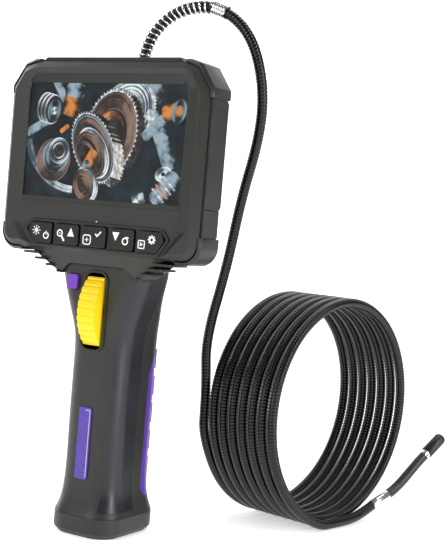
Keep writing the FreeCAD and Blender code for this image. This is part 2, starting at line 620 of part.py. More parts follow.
def build_cable():
    """Gland, spring relief with its ferrule, cable to the coil, the coil and the tail."""
    gland_body = fuse("gland_solid",
                      rod("gland_nut", "7.2", "4", (0, dim.exit_y, dim.duct_top), (0, 0, 1)),
                      rod("gland_neck", "5.2", "6", (0, dim.exit_y, dim.duct_top), (0, 0, 1)))
    gland_bore = rod("gland_bore", "cable / 2 + 0.15", "10",
                     (0, dim.exit_y, dim.duct_top - 2), (0, 0, 1))
    keep("cable_gland", cut("gland_cut", gland_body, gland_bore))

    lead_edges = route_edges(LEAD_ROUTE, "lead")
    keep("probe_cable_lead", tube("lead_tube", lead_edges, dim.cable / 2))
    run_start = Vector(*LEAD_ROUTE[RUN_FERRULE_SITS_ON])
    run_end = Vector(*LEAD_ROUTE[RUN_FERRULE_SITS_ON + 1])
    along = (run_end - run_start).normalize()
    ferrule_end = (run_start + run_end) * 0.5 - along * (dim.ferrule_long / 2)
    ferrule = rod("ferrule_tube", "relief_outer / 2", "ferrule_long", tuple(ferrule_end),
                  tuple(along))
    ferrule_bore = rod("ferrule_bore", "cable / 2 + 0.4", "ferrule_long + 4",
                       tuple(ferrule_end - along * 2), tuple(along))
    keep("relief_ferrule", cut("ferrule_cut", ferrule, ferrule_bore))
    covered = lead_edges[:2 * RUN_FERRULE_SITS_ON]
    sleeve = cut("relief_sleeve", tube("relief_outside", covered, dim.relief_outer / 2),
                 tube("relief_inside", covered, dim.cable / 2 + 0.35),
                 block("relief_foot", (-20, 20), (-20, 20), (250, 268)),
                 rod("relief_stop", "10", "20", tuple(ferrule_end), tuple(along)))
    keep("relief_spring", sleeve)

    yaw = math.radians(dim.coil_yaw)
    axis = Vector(math.cos(yaw), math.sin(yaw), 0)
    wide = (dim.coil_turns - 1) * dim.coil_pitch + dim.coil_pitch + dim.cable
    foot = Vector(dim.coil_x, dim.coil_y, dim.coil_z) - axis * (dim.coil_pitch + dim.cable / 2)
    outer = rod("coil_outer", "coil_radius + cable / 2", f"{wide}", tuple(foot), tuple(axis))
    hole = rod("coil_inner", "coil_radius - cable / 2", f"{wide + 4}", tuple(foot - axis * 2),
               tuple(axis))
    keep("probe_cable_coil", cut("coil_ring", outer, hole))
    keep("probe_cable_tail", tube("tail_tube", route_edges(TAIL_ROUTE, "tail"), dim.cable / 2))


# ---------------------------------------------------------------- steerable tip
def tip_axes(rise):
    """Unit vectors along the probe, across it, and along the hinge pins, for a rise in degrees."""
    heading, slope = math.radians(TIP_HEADING), math.radians(rise)
    flat = Vector(math.sin(heading), math.cos(heading), 0)
    along = flat * math.cos(slope) + Vector(0, 0, math.sin(slope))
    pin = flat * -math.sin(slope) + Vector(0, 0, math.cos(slope))
    return along, pin.cross(along), pin


def build_tip():
    """Crimp ferrule, a chain of hinged links, the camera barrel, its window and its cap."""
    along, _, pin = tip_axes(CRIMP_RISE)
    start = Vector(*TAIL_ROUTE[-1])
    crimp_end = start + along * dim.crimp_long
    hinge = crimp_end + along * dim.first_hinge
    stub = dim.first_hinge - dim.link_gap
    crimp = fuse("crimp_solid",
                 rod("crimp_tube", "crimp_radius", "crimp_long", tuple(start), tuple(along)),
                 rod("crimp_stub", "link_radius", f"{stub}", tuple(crimp_end), tuple(along)),
                 *ears("crimp", hinge, along, pin))
    keep("tip_ferrule", cut("crimp_cut", crimp, rod("crimp_bore", "link_bore", "crimp_long + 6",
                                                    tuple(start + along), tuple(along))))
    print("hinge 1 at", [round(c, 3) for c in hinge], "axis", [round(c, 4) for c in pin])
    for number, rise in enumerate(LINK_RISES, start=1):
        along, _, own_pin = tip_axes(rise)
        following = hinge + along * dim.link_pitch
        barrel = rod(f"link_body_{number}", "link_radius", "link_pitch - 2 * link_gap",
                     tuple(hinge + along * dim.link_gap), tuple(along))
        solid = fuse(f"link_solid_{number}", barrel,
                     *ears(f"link_{number}", following, along, own_pin))
        keep(f"tip_link_{number}", cut(f"link_cut_{number}", solid,
                                       rod(f"link_bore_{number}", "link_bore", "20",
                                           tuple(hinge - along * 5), tuple(along)),
                                       *ear_room(f"link_{number}", hinge, pin)))
        hinge, pin = following, own_pin
        print(f"hinge {number + 1} at", [round(c, 3) for c in hinge],
              "axis", [round(c, 4) for c in pin])
    along, _, own_pin = tip_axes(CAMERA_RISE)
    collar = hinge + along * 4.2
    barrel = fuse("camera_solid",
                  rod("camera_stub", "link_radius", f"{4.2 - dim.link_gap}",
                      tuple(hinge + along * dim.link_gap), tuple(along)),
                  rod("camera_collar", "collar_radius", "3", tuple(collar), tuple(along)),
                  rod("camera_can", "barrel_radius", "cap_long - 1", tuple(collar + along * 2),
                      tuple(along)))
    lens_seat = collar + along * (dim.cap_long + 0.2)
    keep("camera_barrel", cut("camera_cut", barrel,
                              rod("lens_pocket", "2.6", "2", tuple(lens_seat), tuple(along)),
                              *ear_room("camera", hinge, pin)))
    keep("lens_window", rod("lens_disc", "2.6", "0.8", tuple(lens_seat), tuple(along)))
    cap_start = collar + along * 3.05
    cap = cut("cap_cut", dome("cap_outer", cap_start, along, dim.cap_radius, dim.cap_long),
              rod("cap_bore", "barrel_radius + 0.25", "cap_long - 1.9",
                  tuple(cap_start - along * 0.01), tuple(along)))
    keep("lens_cap", cap)
    print("cap slides along", [round(c, 4) for c in along])


def ears(name, hinge, along, pin):
    """Two round-ended lugs that carry the next hinge's pins."""
    lugs = []
    for side in (-1, 1):
        foot = hinge + pin * (side * 2.25 - 0.45)
        tongue = doc.addObject("Part::Box", f"{name}_tongue_{side + 1}")
        bind(tongue, Length="1.4", Width="ear_radius * 2", Height="0.9")
        across = pin.cross(along)
        corner = foot - along * 1.4 - across * dim.ear_radius
        tongue.Placement = Placement(corner, Rotation(along, across, pin, "XYZ"))
        lugs += [tongue, rod(f"{name}_lug_{side + 1}", "ear_radius", "0.9", tuple(foot),
                             tuple(pin))]
    return lugs


def ear_room(name, hinge, pin):
    """Cutters that clear the lugs of the piece before."""
    return [rod(f"{name}_room_{side + 1}", "ear_radius + 0.3", "1.6",
                tuple(hinge + pin * (side * 2.35 - 0.8)), tuple(pin)) for side in (-1, 1)]


def dome(name, start, along, radius, tall):
    """Round bar with a rounded nose."""
    bar = rod(name, f"{radius}", f"{tall}", tuple(start), tuple(along))
    doc.recompute()
    nose = doc.addObject("Part::Fillet", name + "_nose")
    nose.Base = bar
    far = start + along * tall
    picked = [number for number, edge in enumerate(bar.Shape.Edges, start=1)
              if edge.BoundBox.Center.distanceToPoint(far) < 0.5]
    nose.Edges = [(number, radius * 0.72, radius * 0.72) for number in picked]
    return nose


def check_and_write():
    """Recompute, refuse anything failed or empty, then write one STEP file per sub-part."""
    doc.recompute()
    failed = [item.Name for item in doc.Objects
              if "Invalid" in item.State or "Error" in item.State]
    if failed:
        raise RuntimeError("failed objects: " + ", ".join(failed))
    os.makedirs("parts", exist_ok=True)
    for name, item in nodes.items():
        if item.Shape.isNull() or not item.Shape.isValid() or item.Shape.Volume <= 0:
            raise RuntimeError("bad shape: " + name)
        item.Shape.exportStep(f"parts/{name}.step")
    print(len(nodes), "sub-parts written")


build_head()
build_keys()
build_electronics()
build_handle()
build_screws()
build_battery()
build_drive()
build_cable()
build_tip()
check_and_write()
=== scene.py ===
"""Looks of a hand-held inspection camera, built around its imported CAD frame.

A wide head carries a screen and five keys, a handle with a thumb roller stands under it, and a
ribbed probe cable arches out of the head's top, falls behind it and stands in a coil. Lengths in
the classes are millimetres in the frame's own axes; meshes are written in metres.
"""
import logging
import math
from dataclasses import dataclass
from enum import Enum
from typing import Iterable, Sequence

import bmesh
import bpy
from mathutils import Matrix, Vector


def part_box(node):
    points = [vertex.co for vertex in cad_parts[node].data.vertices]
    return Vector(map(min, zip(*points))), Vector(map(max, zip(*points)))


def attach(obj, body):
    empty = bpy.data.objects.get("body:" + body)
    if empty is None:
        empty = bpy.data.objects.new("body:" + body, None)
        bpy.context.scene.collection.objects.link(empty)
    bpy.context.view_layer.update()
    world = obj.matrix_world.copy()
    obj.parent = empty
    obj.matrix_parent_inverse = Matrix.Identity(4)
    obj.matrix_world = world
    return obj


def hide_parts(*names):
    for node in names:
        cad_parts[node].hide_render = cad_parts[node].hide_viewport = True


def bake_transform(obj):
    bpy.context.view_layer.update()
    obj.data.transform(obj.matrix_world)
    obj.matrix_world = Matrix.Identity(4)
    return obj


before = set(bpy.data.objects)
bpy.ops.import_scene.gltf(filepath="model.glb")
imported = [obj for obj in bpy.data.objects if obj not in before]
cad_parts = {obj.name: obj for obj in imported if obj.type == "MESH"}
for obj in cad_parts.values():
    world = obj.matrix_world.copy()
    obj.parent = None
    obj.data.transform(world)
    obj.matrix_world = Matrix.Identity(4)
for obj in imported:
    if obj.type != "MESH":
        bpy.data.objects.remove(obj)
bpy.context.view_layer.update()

MM = 0.001
LOG = logging.getLogger("inspection_camera")

Point = tuple[float, float, float]
Pair = tuple[float, float]


# ------------------------------------------------------------------------------ small tools
def linear(code: str) -> tuple[float, float, float, float]:
    """Turn an sRGB hex code into a linear colour.

    Args:
        code: colour such as "#2b2d2b".

    Returns:
        Red, green, blue and alpha, linear.
    """
    parts = [int(code[place:place + 2], 16) / 255 for place in (1, 3, 5)]
    straight = [c / 12.92 if c <= 0.04045 else ((c + 0.055) / 1.055) ** 2.4 for c in parts]
    return (*straight, 1.0)


def add_node(tree: bpy.types.NodeTree, kind: str, inputs: dict | None = None,
             **settings: object) -> bpy.types.Node:
    """Add a shader node with its settings, values and links.

    Args:
        tree: node tree of a material.
        kind: node type's identifier.
        inputs: values or output sockets by input name or number.
        **settings: properties of the node.

    Returns:
        The new node.
    """
    made = tree.nodes.new(kind)
    for name, value in settings.items():
        setattr(made, name, value)
    for name, value in (inputs or {}).items():
        if isinstance(value, bpy.types.NodeSocket):
            tree.links.new(value, made.inputs[name])
        else:
            made.inputs[name].default_value = value
    return made


def fresh_material(name: str) -> tuple[bpy.types.Material, bpy.types.NodeTree]:
    """Make an empty node material and return it with its tree."""
    material = bpy.data.materials.new(name)
    material.use_nodes = True
    material.node_tree.nodes.clear()
    return material, material.node_tree


def mm(point: Sequence[float]) -> Vector:
    """A point in millimetres as a vector in metres."""
    return Vector(point) * MM


# ------------------------------------------------------------------------------ finishes
@dataclass(frozen=True)
class MouldedPlastic:
    """ABS or nylon from a spark-eroded mould: even grain, soft highlight, faint tone drift."""

    name: str
    colour: str
    drift: str
    rough: float = 0.5
    grain_mm: float = 0.7
    grain_depth_mm: float = 0.012
    coat: float = 0.0
    ior: float = 1.5

    def build(self) -> bpy.types.Material:
        """Build the material: grain as bump, tone drift over centimetres, uneven gloss."""
        material, tree = fresh_material(self.name)
        place = add_node(tree, "ShaderNodeTexCoord").outputs["Object"]
        grain = add_node(tree, "ShaderNodeTexNoise", {
            "Vector": place, "Scale": 1 / (self.grain_mm * MM), "Detail": 3.0, "Roughness": 0.6})
        cloud = add_node(tree, "ShaderNodeTexNoise", {
            "Vector": place, "Scale": 1 / (22 * MM), "Detail": 2.0})
        rub = add_node(tree, "ShaderNodeTexNoise", {
            "Vector": place, "Scale": 1 / (4 * MM), "Detail": 4.0, "Roughness": 0.7})
        shade = add_node(tree, "ShaderNodeMix", {
            "Factor": cloud.outputs["Fac"], "A": linear(self.colour), "B": linear(self.drift)},
            data_type="RGBA")
        gloss = add_node(tree, "ShaderNodeMapRange", {
            "Value": rub.outputs["Fac"], "From Min": 0.3, "From Max": 0.7,
            "To Min": self.rough - 0.05, "To Max": self.rough + 0.06})
        bump = add_node(tree, "ShaderNodeBump", {
            "Height": grain.outputs["Fac"], "Strength": 0.55,
            "Distance": self.grain_depth_mm * MM})
        shader = add_node(tree, "ShaderNodeBsdfPrincipled", {
            "Base Color": shade.outputs["Result"], "Roughness": gloss.outputs["Result"],
            "IOR": self.ior, "Coat Weight": self.coat, "Coat Roughness": 0.18,
            "Normal": bump.outputs["Normal"]})
        add_node(tree, "ShaderNodeOutputMaterial", {"Surface": shader.outputs["BSDF"]})
        return material


@dataclass(frozen=True)
class Elastomer:
    """Overmoulded rubber: very fine matt grain that scatters a broad, cool highlight."""

    name: str
    colour: str
    drift: str
    rough: float = 0.46
    grain_mm: float = 0.5
    sheen: float = 0.12

    def build(self) -> bpy.types.Material:
        """Build the material: fine cells as bump, slow tone drift and a little sheen."""
        material, tree = fresh_material(self.name)
        place = add_node(tree, "ShaderNodeTexCoord").outputs["Object"]
        cells = add_node(tree, "ShaderNodeTexVoronoi", {
            "Vector": place, "Scale": 1 / (self.grain_mm * MM)})
        cloud = add_node(tree, "ShaderNodeTexNoise", {
            "Vector": place, "Scale": 1 / (14 * MM), "Detail": 3.0})
        shade = add_node(tree, "ShaderNodeMix", {
            "Factor": cloud.outputs["Fac"], "A": linear(self.colour), "B": linear(self.drift)},
            data_type="RGBA")
        gloss = add_node(tree, "ShaderNodeMapRange", {
            "Value": cloud.outputs["Fac"], "From Min": 0.35, "From Max": 0.65,
            "To Min": self.rough - 0.04, "To Max": self.rough + 0.06})
        bump = add_node(tree, "ShaderNodeBump", {
            "Height": cells.outputs["Distance"], "Strength": 0.35, "Distance": 0.01 * MM})
        shader = add_node(tree, "ShaderNodeBsdfPrincipled", {
            "Base Color": shade.outputs["Result"], "Roughness": gloss.outputs["Result"],
            "IOR": 1.52, "Sheen Weight": self.sheen, "Sheen Roughness": 0.4,
            "Normal": bump.outputs["Normal"]})
        add_node(tree, "ShaderNodeOutputMaterial", {"Surface": shader.outputs["BSDF"]})
        return material


@dataclass(frozen=True)
class WorkedMetal:
    """Plated, turned or drawn metal: bright, with fine tool lines along one axis."""

    name: str
    colour: str
    rough: float = 0.2
    line_mm: float = 0.35
    stretch: Point = (1.0, 1.0, 1.0)

    def build(self) -> bpy.types.Material:
        """Build the material: stretched noise drives the gloss and a shallow bump."""
        material, tree = fresh_material(self.name)
        place = add_node(tree, "ShaderNodeTexCoord").outputs["Object"]
        drawn = add_node(tree, "ShaderNodeMapping", {"Vector": place, "Scale": self.stretch})
        lines = add_node(tree, "ShaderNodeTexNoise", {
            "Vector": drawn.outputs["Vector"], "Scale": 1 / (self.line_mm * MM), "Detail": 4.0})
        gloss = add_node(tree, "ShaderNodeMapRange", {
            "Value": lines.outputs["Fac"], "From Min": 0.3, "From Max": 0.7,
            "To Min": self.rough * 0.7, "To Max": self.rough * 1.5})
        shade = add_node(tree, "ShaderNodeMix", {
            "Factor": lines.outputs["Fac"], "A": linear(self.colour), "B": linear("#f3f3f0")},
            data_type="RGBA")
        bump = add_node(tree, "ShaderNodeBump", {
            "Height": lines.outputs["Fac"], "Strength": 0.2, "Distance": 0.006 * MM})
        shader = add_node(tree, "ShaderNodeBsdfPrincipled", {
            "Base Color": shade.outputs["Result"], "Roughness": gloss.outputs["Result"],
            "Metallic": 1.0, "Normal": bump.outputs["Normal"]})
        add_node(tree, "ShaderNodeOutputMaterial", {"Surface": shader.outputs["BSDF"]})
        return material


@dataclass(frozen=True)
class ClearGlass:
    """Chemically strengthened cover glass: nothing but a clean reflection over the picture."""

    name: str
    tint: str = "#f4f8fa"

    def build(self) -> bpy.types.Material:
        """Build the material: full transmission with a trace of uneven polish."""
        material, tree = fresh_material(self.name)
        place = add_node(tree, "ShaderNodeTexCoord").outputs["Object"]
        smear = add_node(tree, "ShaderNodeTexNoise", {
            "Vector": place, "Scale": 1 / (18 * MM), "Detail": 3.0})
        gloss = add_node(tree, "ShaderNodeMapRange", {
            "Value": smear.outputs["Fac"], "To Min": 0.0, "To Max": 0.04})
        shader = add_node(tree, "ShaderNodeBsdfPrincipled", {
            "Base Color": linear(self.tint), "Roughness": gloss.outputs["Result"],
            "IOR": 1.25, "Transmission Weight": 1.0})
        add_node(tree, "ShaderNodeOutputMaterial", {"Surface": shader.outputs["BSDF"]})
        return material


class Shading(Enum):
    """How light lies on a part of the picture."""

    CLOUD = "soft patches"
    TURNED = "turned face, with two bright sectors"
    BARREL = "round bar, bright along its middle"


@dataclass(frozen=True)
class LitImage:
    """Light from the display: metal between a dark and a bright tone, as a photo shows it."""

    name: str
    dark: str
    light: str
    shading: Shading = Shading.CLOUD
    step_mm: float = 6.0
    lean: float = 0.6
    strength: float = 1.0

    def level(self, tree: bpy.types.NodeTree, chart: bpy.types.NodeSocket,
              cloud: bpy.types.NodeSocket) -> bpy.types.NodeSocket:
        """Brightness at a place on the part.

        Args:
            tree: node tree of the material.
            chart: the part's own map, in millimetres about its centre.
            cloud: slow noise.

        Returns:
            Brightness, about 0 to 1.
        """
        if self.shading is Shading.CLOUD:
            return cloud
        if self.shading is Shading.BARREL:
            across = add_node(tree, "ShaderNodeSeparateXYZ", {0: chart}).outputs["X"]
            angle = add_node(tree, "ShaderNodeMath", {
                0: across, 1: math.pi / self.step_mm, 2: self.lean},
                operation="MULTIPLY_ADD").outputs["Value"]
            wave = add_node(tree, "ShaderNodeMath", {0: angle}, operation="COSINE")
            return add_node(tree, "ShaderNodeMath", {
                0: wave.outputs["Value"], 1: 0.2, 2: cloud}, operation="MULTIPLY_ADD"
                ).outputs["Value"]
        reach = add_node(tree, "ShaderNodeVectorMath", {0: chart}, operation="LENGTH")
        steps = add_node(tree, "ShaderNodeMath", {
            0: reach.outputs["Value"], 1: self.step_mm}, operation="DIVIDE").outputs["Value"]
        turned = add_node(tree, "ShaderNodeTexNoise", {"W": steps, "Scale": 1.0, "Detail": 2.0},
                          noise_dimensions="1D")
        sweep = add_node(tree, "ShaderNodeTexGradient", {"Vector": chart},
                         gradient_type="RADIAL")
        angle = add_node(tree, "ShaderNodeMath", {
            0: sweep.outputs["Fac"], 1: 4 * math.pi, 2: self.lean * math.tau},
            operation="MULTIPLY_ADD").outputs["Value"]
        wave = add_node(tree, "ShaderNodeMath", {0: angle}, operation="SINE").outputs["Value"]
        lit = add_node(tree, "ShaderNodeMath", {0: wave, 1: 0.16, 2: turned.outputs["Fac"]},
                       operation="MULTIPLY_ADD").outputs["Value"]
        patchy = add_node(tree, "ShaderNodeMath", {0: cloud, 1: 0.5, 2: -0.25},
                          operation="MULTIPLY_ADD").outputs["Value"]
        return add_node(tree, "ShaderNodeMath", {0: lit, 1: patchy},
                        operation="ADD").outputs["Value"]

    def build(self) -> bpy.types.Material:
        """Build the material: brightness picks the tone, and the surface only glows."""
        material, tree = fresh_material(self.name)
        chart = add_node(tree, "ShaderNodeUVMap", uv_map="chart").outputs["UV"]
        spread = self.step_mm if self.shading is Shading.CLOUD else 5.0
        cloud = add_node(tree, "ShaderNodeTexNoise", {
            "Vector": chart, "Scale": 1 / spread, "Detail": 3.0, "Roughness": 0.5})
        sharp = add_node(tree, "ShaderNodeMapRange", {
            "Value": self.level(tree, chart, cloud.outputs["Fac"]),
            "From Min": 0.34, "From Max": 0.74}, interpolation_type="SMOOTHSTEP")
        shade = add_node(tree, "ShaderNodeMix", {
            "Factor": sharp.outputs["Result"], "A": linear(self.dark), "B": linear(self.light)},
            data_type="RGBA")
        shader = add_node(tree, "ShaderNodeBsdfPrincipled", {
            "Base Color": linear("#050505"), "Roughness": 0.4,
            "Emission Color": shade.outputs["Result"], "Emission Strength": self.strength})
        add_node(tree, "ShaderNodeOutputMaterial", {"Surface": shader.outputs["BSDF"]})
        return material


class Finish(Enum):
    """Every finish on the object, by what it covers."""

    HOUSING = MouldedPlastic("ABS housing, spark-eroded black", "#1f211d", "#252721", 0.46)
    HOUSING_SATIN = MouldedPlastic("ABS trim, satin black", "#191a18", "#1e1f1c", 0.32, 0.9, 0.006)
    BORDER = MouldedPlastic("glass border, black print", "#1e201c", "#232520", 0.42, 1.2, 0.004)
    GUARD = Elastomer("corner guards, firm black rubber", "#111114", "#18181d", 0.36)
    GRIP = Elastomer("side grips, soft black rubber", "#0f1016", "#171923", 0.33, 0.6)
    PURPLE_GRIP = Elastomer("rear grip, purple rubber", "#47208a", "#5c2ca2", 0.42, 0.6, 0.08)
    PURPLE_BUTTON = MouldedPlastic("lock button, purple ABS", "#5f2ca6", "#7442bd", 0.34, 0.6, 0.006)
    PURPLE_PLATE = MouldedPlastic("nameplate, purple lacquer", "#3a1590", "#4a22a8", 0.3, 0.8, 0.004, 0.4)
    YELLOW = MouldedPlastic("thumb roller, yellow acetal", "#f7cf00", "#ffdd0c", 0.42, 0.6, 0.008)
    KEY = MouldedPlastic("keys, black polycarbonate", "#0d0e0c", "#121311", 0.36, 0.6, 0.008)
    INK = MouldedPlastic("symbols, white pad print", "#f4f5f3", "#ffffff", 0.55, 0.4, 0.003)
    GILT = WorkedMetal("border line, gold foil", "#b9a15c", 0.35)
    JACKET = MouldedPlastic("cable jacket, black ribbed vinyl", "#020203", "#06060a", 0.22, 0.5, 0.003, 0.0, 1.42)
    SLEEVE = Elastomer("tip sleeve, black braided rubber", "#0e0f10", "#1d1e20", 0.36, 0.45)
    CAP = MouldedPlastic("lens cap, black nylon", "#0a0b0c", "#131416", 0.4, 0.6, 0.01)
    PLATED = WorkedMetal("nickel plated steel", "#cfd0cc", 0.16)
    TURNED = WorkedMetal("turned stainless steel", "#b9bbbd", 0.24, 0.25, (1.0, 1.0, 6.0))
    SHEET = WorkedMetal("sheet steel", "#a9acb0", 0.3, 0.4, (8.0, 1.0, 1.0))
    BRASS = WorkedMetal("turned brass", "#b08a3c", 0.25, 0.3)
    LENS = MouldedPlastic("lens window, coated sapphire", "#0d141d", "#182536", 0.06, 2.0, 0.0005, 1.0)
    SILICONE = Elastomer("key mat, grey silicone", "#7c8085", "#92969b", 0.55)
    SEAL = Elastomer("gasket, dark silicone", "#26272a", "#303236", 0.55)
    BOARD = MouldedPlastic("circuit board, green mask", "#174a30", "#22663f", 0.35, 2.0, 0.01, 0.3)
    CELL = MouldedPlastic("cell wrap, blue film", "#2765a3", "#3a7cbb", 0.3, 1.0, 0.004, 0.4)
    GLASS = ClearGlass("cover glass, clear")
    PANEL = MouldedPlastic("display module, dark film", "#10151a", "#182028", 0.2, 1.0, 0.001)
    VOID = LitImage("picture, deep shadow", "#010205", "#0f242e", step_mm=11.0)
    STEEL_LIT = LitImage("picture, lit steel", "#3a4a55", "#eef4f6", Shading.TURNED, 1.1)
    STEEL_DIM = LitImage("picture, dim steel", "#141c22", "#8ba0aa", Shading.TURNED, 1.4, 0.2)
    STEEL_BAR = LitImage("picture, steel bar", "#0a1217", "#9db2bd", Shading.BARREL, 8.0, 0.5)
    STEEL_EDGE = LitImage("picture, bright steel edge", "#8c9aa3", "#ffffff", step_mm=3.0)
    COPPER_LIT = LitImage("picture, lit copper", "#4a1f0c", "#f2a45a", Shading.TURNED, 1.2, 0.4)
    COPPER_BAR = LitImage("picture, copper bar", "#1c0b04", "#e08a3c", Shading.BARREL, 7.0, 0.3)
    BRONZE = LitImage("picture, oiled bronze", "#241713", "#9a7866", Shading.TURNED, 0.9, 0.1)
    TOOTH_LIT = LitImage("picture, bright tooth", "#a59d95", "#fffdf8", step_mm=3.0)
    TOOTH_DARK = LitImage("picture, tooth gap", "#0a0a0c", "#4a3c33", step_mm=3.0)
    RUBBER_DARK = LitImage("picture, dark ring", "#050607", "#3a3431", Shading.TURNED, 0.8)

    def material(self) -> bpy.types.Material:
        """Return the finish's material, built the first time it is asked for."""
        return bpy.data.materials.get(self.value.name) or self.value.build()


# ------------------------------------------------------------------------------ mesh building
class Piece:
    """A mesh on its way to becoming one visible piece of the object."""

    def __init__(self, name: str, shape: bmesh.types.BMesh) -> None:
        """Hold a bmesh under the name that its object will have."""
        self.name = name
        self.shape = shape

    def finish(self, finishes: Iterable[Finish], body: str, stands_for: Sequence[str] = (),
               slot: str | None = None, smooth: float = 40.0) -> bpy.types.Object:
        """Turn the bmesh into an object that rides on a body.

        Args:
            finishes: materials in the order of the faces' indices.
            body: CAD body that the piece moves with.
            stands_for: CAD nodes that the piece replaces.
            slot: material slot of the record; not used.
            smooth: angle in degrees below which edges shade smoothly.

        Returns:
            The finished object.
        """
        mesh = bpy.data.meshes.new(self.name)
        for edge in self.shape.edges:
            turn = edge.calc_face_angle(0.0) if len(edge.link_faces) == 2 else math.pi
            edge.smooth = turn < math.radians(smooth)
        for face in self.shape.faces:
            face.smooth = True
        self.shape.to_mesh(mesh)
        self.shape.free()
        made = bpy.data.objects.new(self.name, mesh)
        bpy.context.scene.collection.objects.link(made)
        for item in finishes:
            mesh.materials.append(item.material())
        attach(made, body)
        if stands_for:
            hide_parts(*stands_for)
        LOG.info("%s: %d faces", self.name, len(mesh.polygons))
        return made


def axis_frame(origin: Vector, along: Vector) -> Matrix:
    """Transform that takes the X axis onto a direction, and the origin onto a point."""
    turn = Vector((1, 0, 0)).rotation_difference(along.normalized()).to_matrix().to_4x4()
    return Matrix.Translation(origin) @ turn


def lathe(name: str, profile: Sequence[Pair], segments: int = 40,
          place: Matrix | None = None) -> Piece:
    """Spin a profile into a closed round piece about the X axis.

    Args:
        name: piece name.
        profile: closed outline as (distance along X, radius), in millimetres.
        segments: steps round the axis.
        place: transform applied to the result, in metres.

    Returns:
        The piece.
    """
    shape = bmesh.new()
    ring = [shape.verts.new((along * MM, 0, radius * MM)) for along, radius in profile]
    edges = [shape.edges.new((ring[index - 1], ring[index])) for index in range(len(ring))]
    bmesh.ops.spin(shape, geom=ring + edges, cent=(0, 0, 0), axis=(1, 0, 0), angle=math.tau,
                   steps=segments, use_merge=True)
    bmesh.ops.remove_doubles(shape, verts=shape.verts, dist=1e-7)
    loose = [face for face in shape.faces if face.calc_area() < 1e-14]
    bmesh.ops.delete(shape, geom=loose, context="FACES")
    bmesh.ops.recalc_face_normals(shape, faces=shape.faces)
    if place:
        bmesh.ops.transform(shape, matrix=place, verts=shape.verts)
    return Piece(name, shape)


def slab(name: str, outline: Sequence[Pair], round_mm: float, depth: Pair, rim_mm: float = 0.0,
         segments: int = 5) -> Piece:
    """Extrude an upright outline along Y, with round corners and a bevelled front rim.

    Args:
        name: piece name.
        outline: corners as (x, z) in millimetres.
        round_mm: radius of the corners.
        depth: (front, back) along Y in millimetres.
        rim_mm: width of the bevel on the front edge.
        segments: steps in each round corner.

    Returns:
        The piece.
    """
    front, back = depth
    shape = bmesh.new()
    corners = [shape.verts.new((x * MM, front * MM, z * MM)) for x, z in outline]
    shape.faces.new(corners)
    if round_mm:
        bmesh.ops.bevel(shape, geom=corners, offset=round_mm * MM, offset_type="OFFSET",
                        segments=segments, profile=0.5, affect="VERTICES", material=-1)
    rim = list(shape.edges)
    grown = bmesh.ops.extrude_face_region(shape, geom=list(shape.faces))
    moved = [item for item in grown["geom"] if isinstance(item, bmesh.types.BMVert)]
    bmesh.ops.translate(shape, verts=moved, vec=(0, (back - front) * MM, 0))
    bmesh.ops.recalc_face_normals(shape, faces=shape.faces)
    if rim_mm:
        edges = [edge for edge in shape.edges if all(
            abs(vert.co.y - front * MM) < 1e-7 for vert in edge.verts)]
        bmesh.ops.bevel(shape, geom=edges or rim, offset=rim_mm * MM, segments=3, profile=0.5,
                        affect="EDGES", material=-1)
    return Piece(name, shape)


def softened(node: str, finish: Finish, body: str, edge_mm: float = 0.3, segments: int = 2,
             name: str | None = None, slot: str | None = None) -> bpy.types.Object:
    """Stand in for a CAD node with a merged copy whose sharp edges are rounded.

    Args:
        node: CAD node.
        finish: its finish.
        body: CAD body it moves with.
        edge_mm: radius on the sharp edges.
        segments: steps in each rounded edge.
        name: piece name, or the node's name with a suffix.
        slot: material slot of the record; passed on to Piece.finish, which does not use it.

    Returns:
        The piece.
    """
    shape = bmesh.new()
    shape.from_mesh(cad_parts[node].data)
    bmesh.ops.remove_doubles(shape, verts=shape.verts, dist=2e-6)
    bmesh.ops.dissolve_limit(shape, angle_limit=math.radians(0.6), verts=shape.verts,
                             edges=shape.edges)
    for face in shape.faces:
        face.material_index = 0
    made = Piece(name or node + "_moulded", shape).finish([finish], body, [node], slot)
    rounding = made.modifiers.new("edge radius", "BEVEL")
    rounding.width = edge_mm * MM
    rounding.segments = segments
    rounding.limit_method = "ANGLE"
    rounding.angle_limit = math.radians(28)
    rounding.use_clamp_overlap = True
    rounding.harden_normals = True
    return made


def dress(node: str, finish: Finish) -> None:
    """Give a CAD node that keeps its own shape its finish."""
    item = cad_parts[node]
    item.data.materials.clear()
    item.data.materials.append(finish.material())


